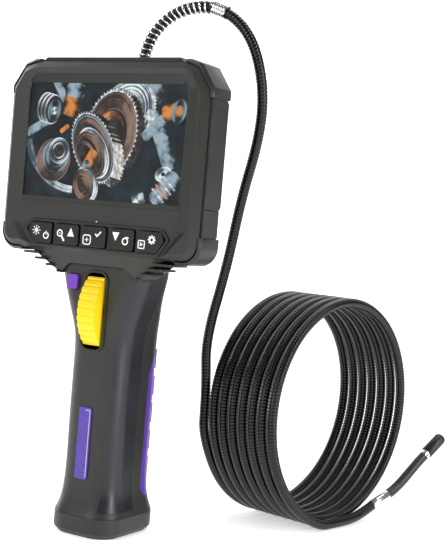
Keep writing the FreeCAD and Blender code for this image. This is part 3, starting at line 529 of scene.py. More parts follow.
# ------------------------------------------------------------------------------ head
@dataclass
class Head:
    """Casing of the head with its guards, flank cover, neck fins and inner parts."""

    glass_front: float = -29.5
    view_tall: float = 64.8
    view_level: float = 222.0

    def casing(self) -> None:
        """Round the edges of the casing halves, guards, trims and fins."""
        softened("front_bezel", Finish.HOUSING, "handset", 0.45, 3, slot="housing")
        softened("rear_cover", Finish.HOUSING, "handset", 0.6, 3, slot="housing")
        softened("top_band", Finish.GUARD, "handset", 0.5, 3, slot="bumper_rubber")
        softened("neck_collar", Finish.HOUSING, "handset", 0.3, slot="housing")
        softened("key_surround", Finish.HOUSING_SATIN, "handset", 0.35, 3, slot="housing")
        for corner in ("upper_left", "upper_right", "lower_left", "lower_right"):
            softened(f"bumper_{corner}", Finish.GUARD, "handset", 0.5, 3, slot="bumper_rubber")
        for side in ("left", "right"):
            softened(f"side_trim_{side}", Finish.GUARD, "handset", 0.3, slot="bumper_rubber")

    def flank_cover(self) -> None:
        """Round the port cover."""
        softened("port_cover", Finish.GUARD, "port_door", 0.35, slot="bumper_rubber")

    def strip(self, name: str, level: float, upwards: bool) -> Piece:
        """Part of the glass above or below a level.

        Args:
            name: piece name.
            level: height of the cut in millimetres.
            upwards: keep the part above the cut.

        Returns:
            The closed strip.
        """
        shape = bmesh.new()
        shape.from_mesh(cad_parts["screen_glass"].data)
        bmesh.ops.remove_doubles(shape, verts=shape.verts, dist=2e-6)
        bmesh.ops.bisect_plane(shape, geom=shape.verts[:] + shape.edges[:] + shape.faces[:],
                               plane_co=(0, 0, level * MM), plane_no=(0, 0, 1),
                               clear_inner=upwards, clear_outer=not upwards)
        bmesh.ops.holes_fill(shape, edges=[e for e in shape.edges if e.is_boundary], sides=0)
        bmesh.ops.recalc_face_normals(shape, faces=shape.faces)
        for face in shape.faces:
            face.material_index = 0
        return Piece(name, shape)

    def window(self) -> None:
        """Clear pane over the picture, with black printed strips above and below it."""
        low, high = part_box("screen_glass")
        left, right = low.x / MM, high.x / MM
        ceiling = self.view_level + self.view_tall / 2
        sill = self.view_level - self.view_tall / 2
        self.strip("screen_border_upper", ceiling, True).finish(
            [Finish.BORDER], "handset", ["screen_glass"], "display_glass")
        self.strip("screen_border_lower", sill, False).finish(
            [Finish.BORDER], "handset", slot="display_glass")
        pane = slab("screen_pane", [(left, sill), (right, sill), (right, ceiling),
                                    (left, ceiling)], 0.0,
                    (self.glass_front + 0.02, self.glass_front + 0.3))
        pane.finish([Finish.GLASS], "handset", slot="display_glass")

    def inner_parts(self) -> None:
        """Finish the parts behind the casing."""
        dress("bezel_seal", Finish.SEAL)
        dress("lcd_panel", Finish.PANEL)
        dress("lcd_bracket", Finish.SHEET)
        dress("main_board", Finish.BOARD)
        dress("key_mat", Finish.SILICONE)
        softened("usb_socket", Finish.SHEET, "handset", 0.15, slot="sheet_steel")
        softened("card_socket", Finish.SHEET, "handset", 0.1, slot="sheet_steel")
        softened("housing_screws", Finish.TURNED, "handset", 0.2, slot="turned_steel")

    def build(self) -> None:
        """Build the whole head."""
        self.casing()
        self.flank_cover()
        self.window()
        self.inner_parts()


# ------------------------------------------------------------------------------ screen picture
@dataclass
class ScreenPicture:
    """Picture of gears on the display, in flat layers close behind the glass."""

    half_wide: float = 54.0
    half_tall: float = 32.4
    level: float = 222.0
    back: float = -28.52
    layer: float = 0.008
    laid: int = 0

    def sheet(self, name: str, shape: bmesh.types.BMesh, matrix: Matrix,
              finishes: Sequence[Finish]) -> None:
        """Map, place, trim to the display's edge and finish one layer.

        Args:
            name: piece name.
            shape: flat bmesh in the XZ plane, in millimetres about its own centre.
            matrix: placement in the picture, in millimetres.
            finishes: materials in the order of the faces' indices.
        """
        chart = shape.loops.layers.uv.new("chart")
        for face in shape.faces:
            for loop in face.loops:
                loop[chart].uv = (loop.vert.co.x, loop.vert.co.z)
        depth = self.back - self.layer * self.laid
        self.laid += 1
        bmesh.ops.transform(shape, matrix=Matrix.Translation((0, depth, self.level)) @ matrix,
                            verts=shape.verts)
        for at, along in ((Vector((self.half_wide, 0, 0)), (1, 0, 0)),
                          (Vector((-self.half_wide, 0, 0)), (-1, 0, 0)),
                          (Vector((0, 0, self.level + self.half_tall)), (0, 0, 1)),
                          (Vector((0, 0, self.level - self.half_tall)), (0, 0, -1))):
            bmesh.ops.bisect_plane(shape, geom=shape.verts[:] + shape.edges[:] + shape.faces[:],
                                   plane_co=at, plane_no=along, clear_outer=True)
        bmesh.ops.scale(shape, vec=(MM, MM, MM), verts=shape.verts)
        for face in shape.faces:
            if face.normal.y > 0:
                face.normal_flip()
        Piece("picture_" + name, shape).finish(finishes, "handset", slot="display_panel")

    @staticmethod
    def seen(x: float, z: float, turn: float, squeeze: float) -> Matrix:
        """Placement of a round part seen at a slant.

        Args:
            x: centre across the picture.
            z: centre above the picture's middle.
            turn: direction of the long axis, in degrees from Z towards X.
            squeeze: short axis over long axis.

        Returns:
            The transform.
        """
        return (Matrix.Translation((x, 0, z)) @ Matrix.Rotation(math.radians(turn), 4, "Y")
                @ Matrix.Diagonal((squeeze, 1, 1, 1)))

    @staticmethod
    def annulus(inner: float, outer: float, segments: int = 72,
                arc: Pair = (0.0, 360.0)) -> bmesh.types.BMesh:
        """Flat ring, or a sector of one, in the XZ plane."""
        shape = bmesh.new()
        start = math.radians(arc[0])
        sweep = math.radians(arc[1] - arc[0])
        reach = Vector((math.sin(start), 0, math.cos(start)))
        ends = [shape.verts.new(reach * inner), shape.verts.new(reach * outer)]
        bar = shape.edges.new(ends)
        bmesh.ops.spin(shape, geom=ends + [bar], cent=(0, 0, 0), axis=(0, 1, 0), angle=sweep,
                       steps=segments, use_merge=abs(sweep) > 6.28)
        bmesh.ops.remove_doubles(shape, verts=shape.verts, dist=1e-5)
        return shape

    def gear(self, name: str, matrix: Matrix, radius: float, teeth: int, tooth: float,
             shift: Pair, face: Finish) -> None:
        """Toothed wheel: a wall of bright and dark teeth behind its turned face.

        Args:
            name: piece name.
            matrix: placement from seen().
            radius: radius at the root of the teeth.
            teeth: number of teeth.
            tooth: height of a tooth.
            shift: how far the wheel's far side lies from its near side in the picture.
            face: finish of the wheel's face.
        """
        offset = matrix.to_3x3().inverted() @ Vector((shift[0], 0, shift[1]))
        wall = bmesh.new()
        bmesh.ops.create_circle(wall, segments=teeth * 2, radius=radius + tooth,
                                matrix=Matrix.Rotation(math.pi / 2, 4, "X"))
        wall.verts.ensure_lookup_table()
        for index, vert in enumerate(wall.verts):
            vert.co *= 1.0 if index % 2 else radius / (radius + tooth)
        near = wall.edges[:]
        grown = bmesh.ops.extrude_edge_only(wall, edges=near)
        far = [item for item in grown["geom"] if isinstance(item, bmesh.types.BMVert)]
        bmesh.ops.translate(wall, verts=far, vec=offset)
        for index, quad in enumerate(wall.faces):
            quad.material_index = index % 2
        back = self.annulus(0.0, radius, teeth)
        bmesh.ops.translate(back, verts=back.verts, vec=offset)
        self.sheet(name + "_back", back, matrix, [Finish.TOOTH_DARK])
        self.sheet(name + "_rim", wall, matrix, [Finish.TOOTH_LIT, Finish.TOOTH_DARK])
        crown = bmesh.new()
        bmesh.ops.create_circle(crown, segments=teeth * 2, radius=radius + tooth, cap_ends=True,
                                matrix=Matrix.Rotation(math.pi / 2, 4, "X"))
        crown.verts.ensure_lookup_table()
        for index, vert in enumerate(crown.verts):
            vert.co *= 1.0 if index % 2 else radius / (radius + tooth)
        self.sheet(name + "_crown", crown, matrix, [Finish.STEEL_EDGE])
        disc = self.annulus(0.0, radius - 0.3, teeth * 2)
        self.sheet(name + "_face", disc, matrix, [face])

    def ring(self, name: str, matrix: Matrix, radii: Pair, finish: Finish,
             arc: Pair = (0.0, 360.0)) -> None:
        """Lay one plain ring or arc."""
        self.sheet(name, self.annulus(*radii, 72, arc), matrix, [finish])

    def bar(self, name: str, x: float, z: float, turn: float, size: Pair, finish: Finish,
            round_mm: float = 1.5) -> None:
        """Lay a round-cornered bar, such as a shaft or piston seen from its side."""
        shape = bmesh.new()
        half, tall = size[0] / 2, size[1] / 2
        corners = [shape.verts.new((a, 0, b)) for a, b in (
            (-half, -tall), (half, -tall), (half, tall), (-half, tall))]
        shape.faces.new(corners)
        bmesh.ops.bevel(shape, geom=corners, offset=round_mm, segments=4, profile=0.5,
                        affect="VERTICES", material=-1)
        self.sheet(name, shape, self.seen(x, z, turn, 1.0), [finish])

    def build(self) -> None:
        """Lay the picture from its far ground to its nearest wheel."""
        self.bar("ground", 0, 0, 0, (108, 64.8), Finish.VOID, 0.2)
        self.bar("block_upper", 31, 27, 20, (13, 15), Finish.STEEL_BAR, 4)
        self.bar("rod_left", -46, 8, 62, (5, 22), Finish.STEEL_BAR, 2)
        self.bar("bar_top_left", -33, 29, -35, (5, 18), Finish.STEEL_BAR, 2)
        self.bar("frame_right", 39, 2, -25, (9, 34), Finish.STEEL_BAR, 3)
        self.gear("far", self.seen(14, 16, 30, 0.8), 20, 60, 1.0, (2.0, -1.0), Finish.STEEL_LIT)
        self.gear("large", self.seen(4.5, 5.0, 12, 0.72), 23.5, 54, 2.0, (4.6, -1.4),
                  Finish.BRONZE)
        self.ring("large_recess", self.seen(4.6, 3.6, 12, 0.72), (0, 15), Finish.RUBBER_DARK)
        self.ring("large_boss", self.seen(3.6, 4.0, 12, 0.72), (0, 13.4), Finish.COPPER_LIT)
        self.ring("large_bore", self.seen(5.6, 2.4, 12, 0.72), (0, 11.5), Finish.RUBBER_DARK)
        self.bar("piston", -23.5, 21, 14, (13, 15), Finish.COPPER_BAR, 2)
        self.bar("piston_crown", -22, 28.5, 14, (14, 9), Finish.STEEL_BAR, 3)
        self.disc_stack(-42.5, 18.5)
        self.ring("guard_arc", self.seen(-19, 7, 0, 1.0), (32.5, 37.0), Finish.STEEL_LIT,
                  (180, 258))
        self.ring("left_housing", self.seen(-34, -11.5, 30, 0.95), (0, 12.5), Finish.BRONZE)
        self.ring("left_flange", self.seen(-32.5, -9, 20, 0.95), (0, 10.0), Finish.STEEL_DIM)
        self.ring("left_race", self.seen(-30.4, -6.0, 0, 1.0), (3.6, 7.4), Finish.STEEL_LIT)
        self.ring("left_balls", self.seen(-30.4, -6.0, 0, 1.0), (4.6, 5.6), Finish.TOOTH_DARK)
        self.ring("left_bore", self.seen(-30.4, -6.0, 0, 1.0), (0, 3.6), Finish.TOOTH_DARK)
        self.gear("front", self.seen(-6.5, -3.5, -30, 0.62), 20.5, 48, 1.6, (6.4, -1.2),
                  Finish.STEEL_DIM)
        self.ring("front_face", self.seen(-6.8, -4.3, -30, 0.62), (0, 18.6), Finish.BRONZE)
        self.ring("front_dish", self.seen(-7.2, -5.6, -30, 0.62), (0, 17), Finish.RUBBER_DARK)
        self.ring("front_lip", self.seen(-6.0, -6.4, -30, 0.62), (0, 15.6), Finish.STEEL_LIT)
        self.ring("front_cone", self.seen(-8.0, -7.4, -30, 0.64), (0, 14.2), Finish.BRONZE)
        self.ring("front_groove", self.seen(-9.6, -7.8, -30, 0.64), (0, 10.4),
                  Finish.RUBBER_DARK)
        self.ring("front_collar", self.seen(-10.4, -8.0, -30, 0.66), (0, 8.6), Finish.BRONZE)
        self.ring("front_well", self.seen(-11.2, -8.0, -30, 0.66), (0, 6.8), Finish.RUBBER_DARK)
        self.bar("shaft", -7.6, -9.6, 32, (6.4, 11), Finish.COPPER_BAR, 2.6)
        self.ring("shaft_end", self.seen(-10.4, -13.4, 20, 0.8), (0, 3.2), Finish.STEEL_DIM)
        self.ring("idler_edge", self.seen(-9.0, -24.0, -25, 0.72), (0, 10.5), Finish.STEEL_LIT)
        self.ring("idler", self.seen(-11.4, -24.6, -25, 0.72), (0, 9.4), Finish.BRONZE)
        self.ring("idler_bore", self.seen(-12.4, -25.6, -25, 0.72), (0, 3.4), Finish.TOOTH_DARK)
        self.right_side()

    def disc_stack(self, x: float, z: float) -> None:
        """Lay a stack of three slanted discs with a bright bolt in its middle."""
        for step in range(3):
            shift = 2.6 * step
            self.ring(f"stack_{step}", self.seen(x + shift, z - 0.6 * step, 10, 0.7),
                      (0, 8.6), Finish.STEEL_LIT)
            self.ring(f"stack_gap_{step}", self.seen(x + shift + 0.7, z - 0.6 * step, 10, 0.7),
                      (0, 7.9), Finish.TOOTH_DARK)
        self.ring("stack_face", self.seen(x + 6.4, z - 1.8, 10, 0.7), (2.2, 6.4),
                  Finish.STEEL_DIM)
        self.ring("stack_bolt", self.seen(x + 6.6, z - 2.0, 10, 0.8), (0, 2.2), Finish.STEEL_LIT)

    def right_side(self) -> None:
        """Lay the clip, amber ring, bracket and threaded rod on the right."""
        self.bar("clip_arm", 33.5, 8.5, 48, (6, 17), Finish.STEEL_BAR, 1.2)
        self.bar("clip_foot", 37, 5.5, -60, (4.5, 13), Finish.STEEL_BAR, 1.0)
        self.bar("clip_pin", 30, 15.5, 30, (5, 6), Finish.STEEL_EDGE, 1.5)
        self.bar("lens_block", 44.5, 17.5, 80, (9, 13), Finish.COPPER_BAR, 3)
        self.ring("lens_rim", self.seen(49, 18, 10, 0.6), (3.2, 7.5), Finish.STEEL_DIM)
        self.ring("bracket", self.seen(42, -16, 70, 0.75), (1.4, 5.4), Finish.STEEL_LIT)
        self.bar("threaded_rod", 44, -24, 42, (11, 22), Finish.STEEL_BAR, 4)
        for step in range(4):
            self.bar(f"thread_{step}", 39.5 + 2.2 * step, -27.6 + 2.3 * step, -48, (1.1, 11),
                     Finish.COPPER_BAR if step == 1 else Finish.STEEL_EDGE, 0.5)
        self.bar("low_plate", 27, -30.5, 70, (6, 8), Finish.STEEL_LIT, 1.0)
        self.bar("amber_glint", -27.5, 6.5, 55, (2.6, 7), Finish.COPPER_BAR, 1.0)


# ------------------------------------------------------------------------------ keys
class Mark(Enum):
    """Symbols printed on the keys."""

    SUN = "sun"
    POWER = "power"
    LOUPE = "loupe"
    UP = "up"
    FRAME = "frame"
    TICK = "tick"
    DOWN = "down"
    TURN = "turn"
    PLAY = "play"
    COG = "cog"

    @property
    def growth(self) -> float:
        """How much larger than its drawing the symbol is printed."""
        large = {Mark.UP: 1.25, Mark.DOWN: 1.25, Mark.PLAY: 1.22, Mark.LOUPE: 1.18,
                 Mark.SUN: 1.15, Mark.FRAME: 1.15}
        return large.get(self, 1.05)


@dataclass
class KeyPad:
    """Five sprung keys and the white symbols printed on them."""

    pitch: float = 19.0
    level: float = 169.0
    front: float = -30.6
    ink: float = 0.05
    names: tuple[str, ...] = ("power", "zoom", "capture", "rotate", "play")

    def bar(self, shape: bmesh.types.BMesh, ends: tuple[Pair, Pair], wide: float) -> None:
        """Add a straight stroke between two points."""
        (x, z), (far_x, far_z) = ends
        run = Vector((far_x - x, 0, far_z - z))
        side = Vector((-run.z, 0, run.x)).normalized() * wide / 2
        start, end = Vector((x, 0, z)), Vector((far_x, 0, far_z))
        shape.faces.new([shape.verts.new(p) for p in (
            start - side, end - side, end + side, start + side)])

    def loop(self, shape: bmesh.types.BMesh, centre: Pair, radii: Pair,
             arc: Pair = (0.0, 360.0), steps: int = 28) -> None:
        """Add a ring or an arc of one, angles from up towards the right."""
        start = math.radians(arc[0])
        reach = Vector((math.sin(start), 0, math.cos(start)))
        middle = Vector((centre[0], 0, centre[1]))
        ends = [shape.verts.new(middle + reach * radius) for radius in radii]
        bar = shape.edges.new(ends)
        bmesh.ops.spin(shape, geom=ends + [bar], cent=middle, axis=(0, 1, 0),
                       angle=math.radians(arc[1] - arc[0]), steps=steps)

    def fill(self, shape: bmesh.types.BMesh, points: Sequence[Pair]) -> None:
        """Add a filled outline."""
        shape.faces.new([shape.verts.new((x, 0, z)) for x, z in points])

    def draw(self, shape: bmesh.types.BMesh, mark: Mark) -> None:
        """Draw one symbol about the origin, in millimetres."""
        if mark is Mark.SUN:
            self.loop(shape, (0, 0), (0.0, 1.0), steps=20)
            for step in range(8):
                turn = math.tau * step / 8
                way = (math.sin(turn), math.cos(turn))
                self.bar(shape, ((way[0] * 1.35, way[1] * 1.35), (way[0] * 2.5, way[1] * 2.5)), 0.42)
        elif mark is Mark.POWER:
            self.loop(shape, (0, 0), (1.35, 1.95), (28, 332))
            self.bar(shape, ((0, 0.5), (0, 2.4)), 0.55)
        elif mark is Mark.LOUPE:
            self.loop(shape, (-0.9, 1.3), (1.15, 1.75))
            self.bar(shape, ((0.1, 0.1), (1.9, -2.3)), 0.95)
            self.bar(shape, ((-1.4, 1.3), (-0.4, 1.3)), 0.4)
        elif mark is Mark.UP:
            self.fill(shape, [(-1.9, -1.7), (1.9, -1.7), (0, 2.1)])
        elif mark is Mark.DOWN:
            self.fill(shape, [(-1.9, 1.7), (0, -2.1), (1.9, 1.7)])
        elif mark is Mark.FRAME:
            for x, z in ((-1.3, 1.3), (1.3, 1.3), (1.3, -1.3), (-1.3, -1.3)):
                start = {(-1, 1): 270, (1, 1): 0, (1, -1): 90, (-1, -1): 180}[
                    (int(math.copysign(1, x)), int(math.copysign(1, z)))]
                self.loop(shape, (x * 0.75, z * 0.75), (1.0, 1.5), (start, start + 90), 8)
            for x, z in ((0, 2.22), (0, -2.22)):
                self.bar(shape, ((x - 1.0, z), (x + 1.0, z)), 0.5)
                self.bar(shape, ((z, x - 1.0), (z, x + 1.0)), 0.5)
            self.bar(shape, ((-1.0, 0), (1.0, 0)), 0.5)
            self.bar(shape, ((0, -1.0), (0, 1.0)), 0.5)
        elif mark is Mark.TICK:
            self.fill(shape, [(-2.0, 0.1), (-1.45, 0.65), (-0.5, -0.35), (1.7, 1.9),
                              (2.25, 1.35), (-0.5, -1.5)])
        elif mark is Mark.TURN:
            self.loop(shape, (0, 0), (1.3, 2.0), (70, 390))
            self.fill(shape, [(0.2, 2.5), (2.4, 2.0), (0.9, 0.5)])
        elif mark is Mark.PLAY:
            for ends in (((-1.9, 1.7), (1.9, 1.7)), ((-1.9, -1.7), (1.9, -1.7)),
                         ((-1.65, -1.9), (-1.65, 1.9)), ((1.65, -1.9), (1.65, 1.9))):
                self.bar(shape, ends, 0.5)
            self.fill(shape, [(-0.7, -0.95), (1.0, 0), (-0.7, 0.95)])
        else:
            self.loop(shape, (0, 0), (0.85, 1.7))
            for step in range(8):
                turn = math.tau * step / 8
                way = (math.sin(turn), math.cos(turn))
                self.bar(shape, ((way[0] * 1.6, way[1] * 1.6), (way[0] * 2.35, way[1] * 2.35)), 0.85)

    def symbol(self, key: str, mark: Mark, x: float, z: float) -> None:
        """Print a symbol on a key: flat, then grown by the ink's thickness."""
        shape = bmesh.new()
        self.draw(shape, mark)
        bmesh.ops.remove_doubles(shape, verts=shape.verts, dist=1e-4)
        for face in shape.faces:
            if face.normal.y > 0:
                face.normal_flip()
        grown = bmesh.ops.extrude_face_region(shape, geom=list(shape.faces))
        front = [item for item in grown["geom"] if isinstance(item, bmesh.types.BMVert)]
        bmesh.ops.translate(shape, verts=front, vec=(0, -self.ink * 2, 0))
        bmesh.ops.recalc_face_normals(shape, faces=shape.faces)
        grow = mark.growth
        place = Matrix.Translation((x, self.front + self.ink, z)) @ Matrix.Diagonal(
            (grow, 1, grow, 1))
        bmesh.ops.transform(shape, matrix=Matrix.Scale(MM, 4) @ place, verts=shape.verts)
        Piece(f"symbol_{mark.value}", shape).finish([Finish.INK], key + "_key",
                                                    slot="key_plastic", smooth=20)

    def build(self) -> None:
        """Build the keys and print two symbols on each."""
        for name in self.names:
            softened(f"key_{name}", Finish.KEY, name + "_key", 0.55, 4, slot="key_plastic")
        places = {
            "power": ((Mark.SUN, -40.7, 170.0), (Mark.POWER, -33.6, 167.4)),
            "zoom": ((Mark.LOUPE, -22.6, 167.9), (Mark.UP, -15.9, 170.2)),
            "capture": ((Mark.FRAME, -4.4, 167.2), (Mark.TICK, 3.0, 170.5)),
            "rotate": ((Mark.DOWN, 15.2, 170.6), (Mark.TURN, 21.7, 168.2)),
            "play": ((Mark.PLAY, 32.6, 167.4), (Mark.COG, 39.2, 170.4)),
        }
        for name, marks in places.items():
            for mark, x, z in marks:
                self.symbol(name, mark, x, z)
        pilot = lathe("pilot_light", [(0, 0.0), (0, 0.5), (0.2, 0.4), (0.3, 0.0)], 20,
                      axis_frame(mm((0.6, -29.4, 177.5)), Vector((0, -1, 0))))
        pilot.finish([Finish.INK], "handset", slot="key_plastic")


# ------------------------------------------------------------------------------ handle
@dataclass
class Handle:
    """Pistol handle: plate, grips, rear shell, purple insert, base and trim."""

    def build(self) -> None:
        """Round the moulded pieces and finish what they hold."""
        softened("handle_front_plate", Finish.HOUSING, "handset", 0.35, 3, slot="housing")
        softened("side_grip_left", Finish.GRIP, "handset", 0.35, 3, slot="rubber_grip")
        softened("side_grip_right", Finish.GRIP, "handset", 0.35, 3, slot="rubber_grip")
        softened("handle_rear_shell", Finish.HOUSING, "handset", 0.35, 3, slot="housing")
        softened("rear_grip_insert", Finish.PURPLE_GRIP, "handset", 0.4, 3, slot="accent_grip")
        softened("base_cap", Finish.HOUSING, "handset", 0.5, 3, slot="housing")
        softened("slot_trim", Finish.HOUSING_SATIN, "handset", 0.3, 3, slot="housing_gloss")
        softened("nameplate", Finish.PURPLE_PLATE, "handset", 0.2, slot="plate_accent")
        self.plate_line()
        dress("battery_cell", Finish.CELL)
        dress("battery_holder", Finish.HOUSING_SATIN)


    @staticmethod
    def plate_line() -> None:
        """Thin foil line along two sides of the nameplate."""
        for name, outline in (
                ("upright", [(3.1, 34.0), (3.45, 34.0), (3.45, 71.6), (3.1, 71.6)]),
                ("cross", [(0.4, 71.5), (3.45, 71.5), (3.45, 71.85), (0.4, 71.85)])):
            slab(f"nameplate_line_{name}", outline, 0.0, (-24.86, -24.7)).finish(
                [Finish.GILT], "handset", slot="plate_accent")


@dataclass
class SteeringDrive:
    """Thumb roller with its shaft, drum, frame, wires and lock button."""

    def build(self) -> None:
        """Finish the drive."""
        softened("thumb_roller", Finish.YELLOW, "roller", 0.45, 3, slot="roller_yellow")
        softened("lock_button", Finish.PURPLE_BUTTON, "lock", 0.7, 4, slot="accent_plastic")
        softened("mechanism_frame", Finish.HOUSING_SATIN, "handset", 0.2, slot="housing_gloss")
        dress("roller_shaft", Finish.TURNED)
        dress("cable_drum", Finish.BRASS)
        dress("roller_bushes", Finish.BRASS)
        dress("steering_wire_front", Finish.TURNED)
        dress("steering_wire_rear", Finish.TURNED)


# ------------------------------------------------------------------------------ probe cable
@dataclass
class ProbeCable:
    """Ribbed cable on its real route, with its spring relief and ferrule."""

    radius: float = 3.1
    bead: float = 1.95
    valley: float = 2.9
    sides: int = 14
    coil_centre: Point = (49.1, 123.7, 71.7)
    coil_radius: float = 68.6
    coil_pitch: float = 7.65
    coil_yaw: float = -11.3
    coil_from: int = 195
    coil_to: int = 2775
    coil_step: int = 30
    lead: tuple[Point, ...] = (
        (0.0, 3.0, 262.0), (0.0, 3.0, 274.0), (6.0, 3.5, 289.5), (19.0, 4.5, 300.5),
        (37.5, 7.0, 304.5), (55.5, 10.0, 298.0), (67.5, 14.0, 282.5), (71.5, 21.0, 257.0),
        (66.5, 28.5, 231.5), (52.5, 38.5, 197.5), (41.0, 48.5, 158.0), (26.0, 56.0, 112.5),
        (27.5, 58.0, 85.5), (28.2, 57.9, 71.7))
    tail: tuple[Point, ...] = (
        (96.0, 114.3, 3.1), (98.9, 129.5, 3.3), (100.1, 143.2, 4.8), (102.7, 153.5, 9.1))

    def coil(self) -> list[Vector]:
        """Control points of the coil's turns, one every 30 degrees, in millimetres."""
        yaw = math.radians(self.coil_yaw)
        axis = Vector((math.cos(yaw), math.sin(yaw), 0))
        side = Vector((-math.sin(yaw), math.cos(yaw), 0))
        reach = self.coil_radius / math.cos(math.radians(self.coil_step / 2))
        points = []
        for degrees in range(self.coil_from, self.coil_to + 1, self.coil_step):
            turn = math.radians(degrees)
            along = self.coil_pitch * ((degrees - 180) / 360 - 1)
            points.append(Vector(self.coil_centre) + axis * along
                          + reach * (math.cos(turn) * side + math.sin(turn) * Vector((0, 0, 1))))
        return points

    def route(self) -> bpy.types.Object:
        """Curve of the whole cable, from the gland to the crimp ferrule."""
        points = [Vector(p) for p in self.lead] + self.coil() + [Vector(p) for p in self.tail]
        curve = bpy.data.curves.new("cable_route", "CURVE")
        curve.dimensions = "3D"
        curve.resolution_u = 12
        line = curve.splines.new("NURBS")
        line.points.add(len(points) - 1)
        for spot, point in zip(line.points, points):
            spot.co = (*(point * MM), 1.0)
        line.order_u = 3
        line.use_endpoint_u = True
        made = bpy.data.objects.new("cable_route", curve)
        bpy.context.scene.collection.objects.link(made)
        return made

    @staticmethod
    def line_points(route: bpy.types.Object) -> list[Vector]:
        """Points that the route's own spline runs through."""
        mesh = bpy.data.meshes.new_from_object(route)
        points = [vert.co.copy() for vert in mesh.vertices]
        bpy.data.meshes.remove(mesh)
        return points

    @staticmethod
    def bent(made: bpy.types.Object, route: bpy.types.Object) -> None:
        """Bend a straight piece along the route and keep the result as its mesh."""
        bend = made.modifiers.new("along the cable", "CURVE")
        bend.object = route
        bend.deform_axis = "POS_X"
        bpy.context.view_layer.update()
        settled = made.evaluated_get(bpy.context.evaluated_depsgraph_get())
        mesh = bpy.data.meshes.new_from_object(settled)
        made.modifiers.clear()
        made.data = mesh

    def jacket(self, length: float) -> Piece:
        """One rib of the straight ribbed jacket along X; build_cable repeats it and closes the ends."""
        count = round(length / MM / self.bead)
        bead = length / count
        shape = bmesh.new()
        bmesh.ops.create_circle(shape, segments=self.sides, radius=self.valley * MM,
                                cap_ends=False, matrix=Matrix.Rotation(math.pi / 2, 4, "Y"))
        ring = shape.edges[:]
        for share, radius in ((0.28, self.radius), (0.72, self.radius), (1.0, self.valley)):
            grown = bmesh.ops.extrude_edge_only(shape, edges=ring)
            verts = [item for item in grown["geom"] if isinstance(item, bmesh.types.BMVert)]
            ring = [item for item in grown["geom"] if isinstance(item, bmesh.types.BMEdge)
                    and all(vert in verts for vert in item.verts)]
            for vert in verts:
                flat = Vector((0, vert.co.y, vert.co.z)).normalized() * radius * MM
                vert.co = Vector((share * bead, flat.y, flat.z))
        return Piece("cable_bead", shape)

    def build_cable(self, route: bpy.types.Object, path: list[Vector]) -> bpy.types.Object:
        """Repeat one rib along the route and bend the jacket onto it."""
        length = sum((b - a).length for a, b in zip(path, path[1:]))
        LOG.info("cable length %.4f m", length)
        count = round(length / MM / self.bead)
        made = self.jacket(length).finish([Finish.JACKET], "handset", slot="cable_jacket",
                                          smooth=70)
        made.name = "probe_cable"
        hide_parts("probe_cable_lead", "probe_cable_coil", "probe_cable_tail")
        row = made.modifiers.new("ribs", "ARRAY")
        row.count = count
        row.use_relative_offset = False
        row.use_constant_offset = True
        row.constant_offset_displace = (length / count, 0, 0)
        row.use_merge_vertices = True
        row.merge_threshold = 1e-5
        self.bent(made, route)
        self.close_ends(made)
        return made

    @staticmethod
    def close_ends(made: bpy.types.Object) -> None:
        """Cap the open ends of a tube and point its faces outwards."""
        shape = bmesh.new()
        shape.from_mesh(made.data)
        bmesh.ops.holes_fill(shape, edges=[e for e in shape.edges if e.is_boundary], sides=0)
        bmesh.ops.recalc_face_normals(shape, faces=shape.faces)
        for face in shape.faces:
            face.smooth = True
        shape.to_mesh(made.data)
        shape.free()

    def spring(self, route: bpy.types.Object, start: float, end: float) -> bpy.types.Object:
        """Steel wire wound round the cable from the gland to the ferrule.

        Args:
            route: the cable's curve.
            start: where the wire starts along the cable, in millimetres.
            end: where it ends.

        Returns:
            The spring.
        """
        wire, pitch, around = 0.64, 3.45, 18
        turns = round((end - start) / pitch)
        shape = bmesh.new()
        profile = bmesh.ops.create_circle(
            shape, segments=10, radius=wire * MM,
            matrix=Matrix.Translation((start * MM, 0, 3.76 * MM)) @ Matrix.Rotation(math.pi / 2, 4, "X"))
        steps = turns * around
        bmesh.ops.spin(shape, geom=profile["verts"] + shape.edges[:], cent=(0, 0, 0),
                       axis=(1, 0, 0), dvec=((end - start) * MM / steps, 0, 0),
                       angle=math.tau * turns, steps=steps)
        made = Piece("relief_spring_wire", shape).finish(
            [Finish.PLATED], "handset", ["relief_spring"], "bright_steel", 70)
        self.bent(made, route)
        self.close_ends(made)
        return made

    def build(self) -> None:
        route = self.route()
        path = self.line_points(route)
        cable = self.build_cable(route, path)
        exit_place = axis_frame(mm(self.lead[0]), Vector((0, 0, 1)))
        gland = lathe("cable_gland_nut", [
            (0, 3.35), (0, 7.2), (1.2, 7.2), (1.7, 6.6), (3.4, 6.6), (4.0, 6.0), (4.0, 5.2),
            (5.6, 5.1), (6.0, 4.7), (6.0, 3.35)], 48, exit_place)
        gland_piece = gland.finish([Finish.PLATED], "handset", ["cable_gland"], "bright_steel")
        start, end = (mm(self.lead[index]) for index in (4, 5))
        along = (end - start).normalized()
        middle = (start + end) / 2
        grooves = [(0, 3.6), (0, 4.2), (0.4, 4.42)]
        for step in range(5):
            at = 1.5 + 1.2 * step
            grooves += [(at, 4.42), (at + 0.25, 4.22), (at + 0.5, 4.42)]
        grooves += [(8.1, 4.42), (8.5, 4.2), (8.5, 3.6)]
        ferrule = lathe("relief_ferrule_tube", grooves, 40,
                        axis_frame(middle - along * 4.25 * MM, along))
        ferrule_piece = ferrule.finish([Finish.PLATED], "handset", ["relief_ferrule"],
                                       "bright_steel")
        nearest = min(range(len(path)), key=lambda index: (path[index] - middle).length)
        reach = sum((b - a).length for a, b in zip(path[:nearest], path[1:nearest + 1])) / MM
        coil = self.spring(route, 6.4, reach - 4.6)
        tip = ProbeTip().build()
        bpy.data.objects.remove(route)


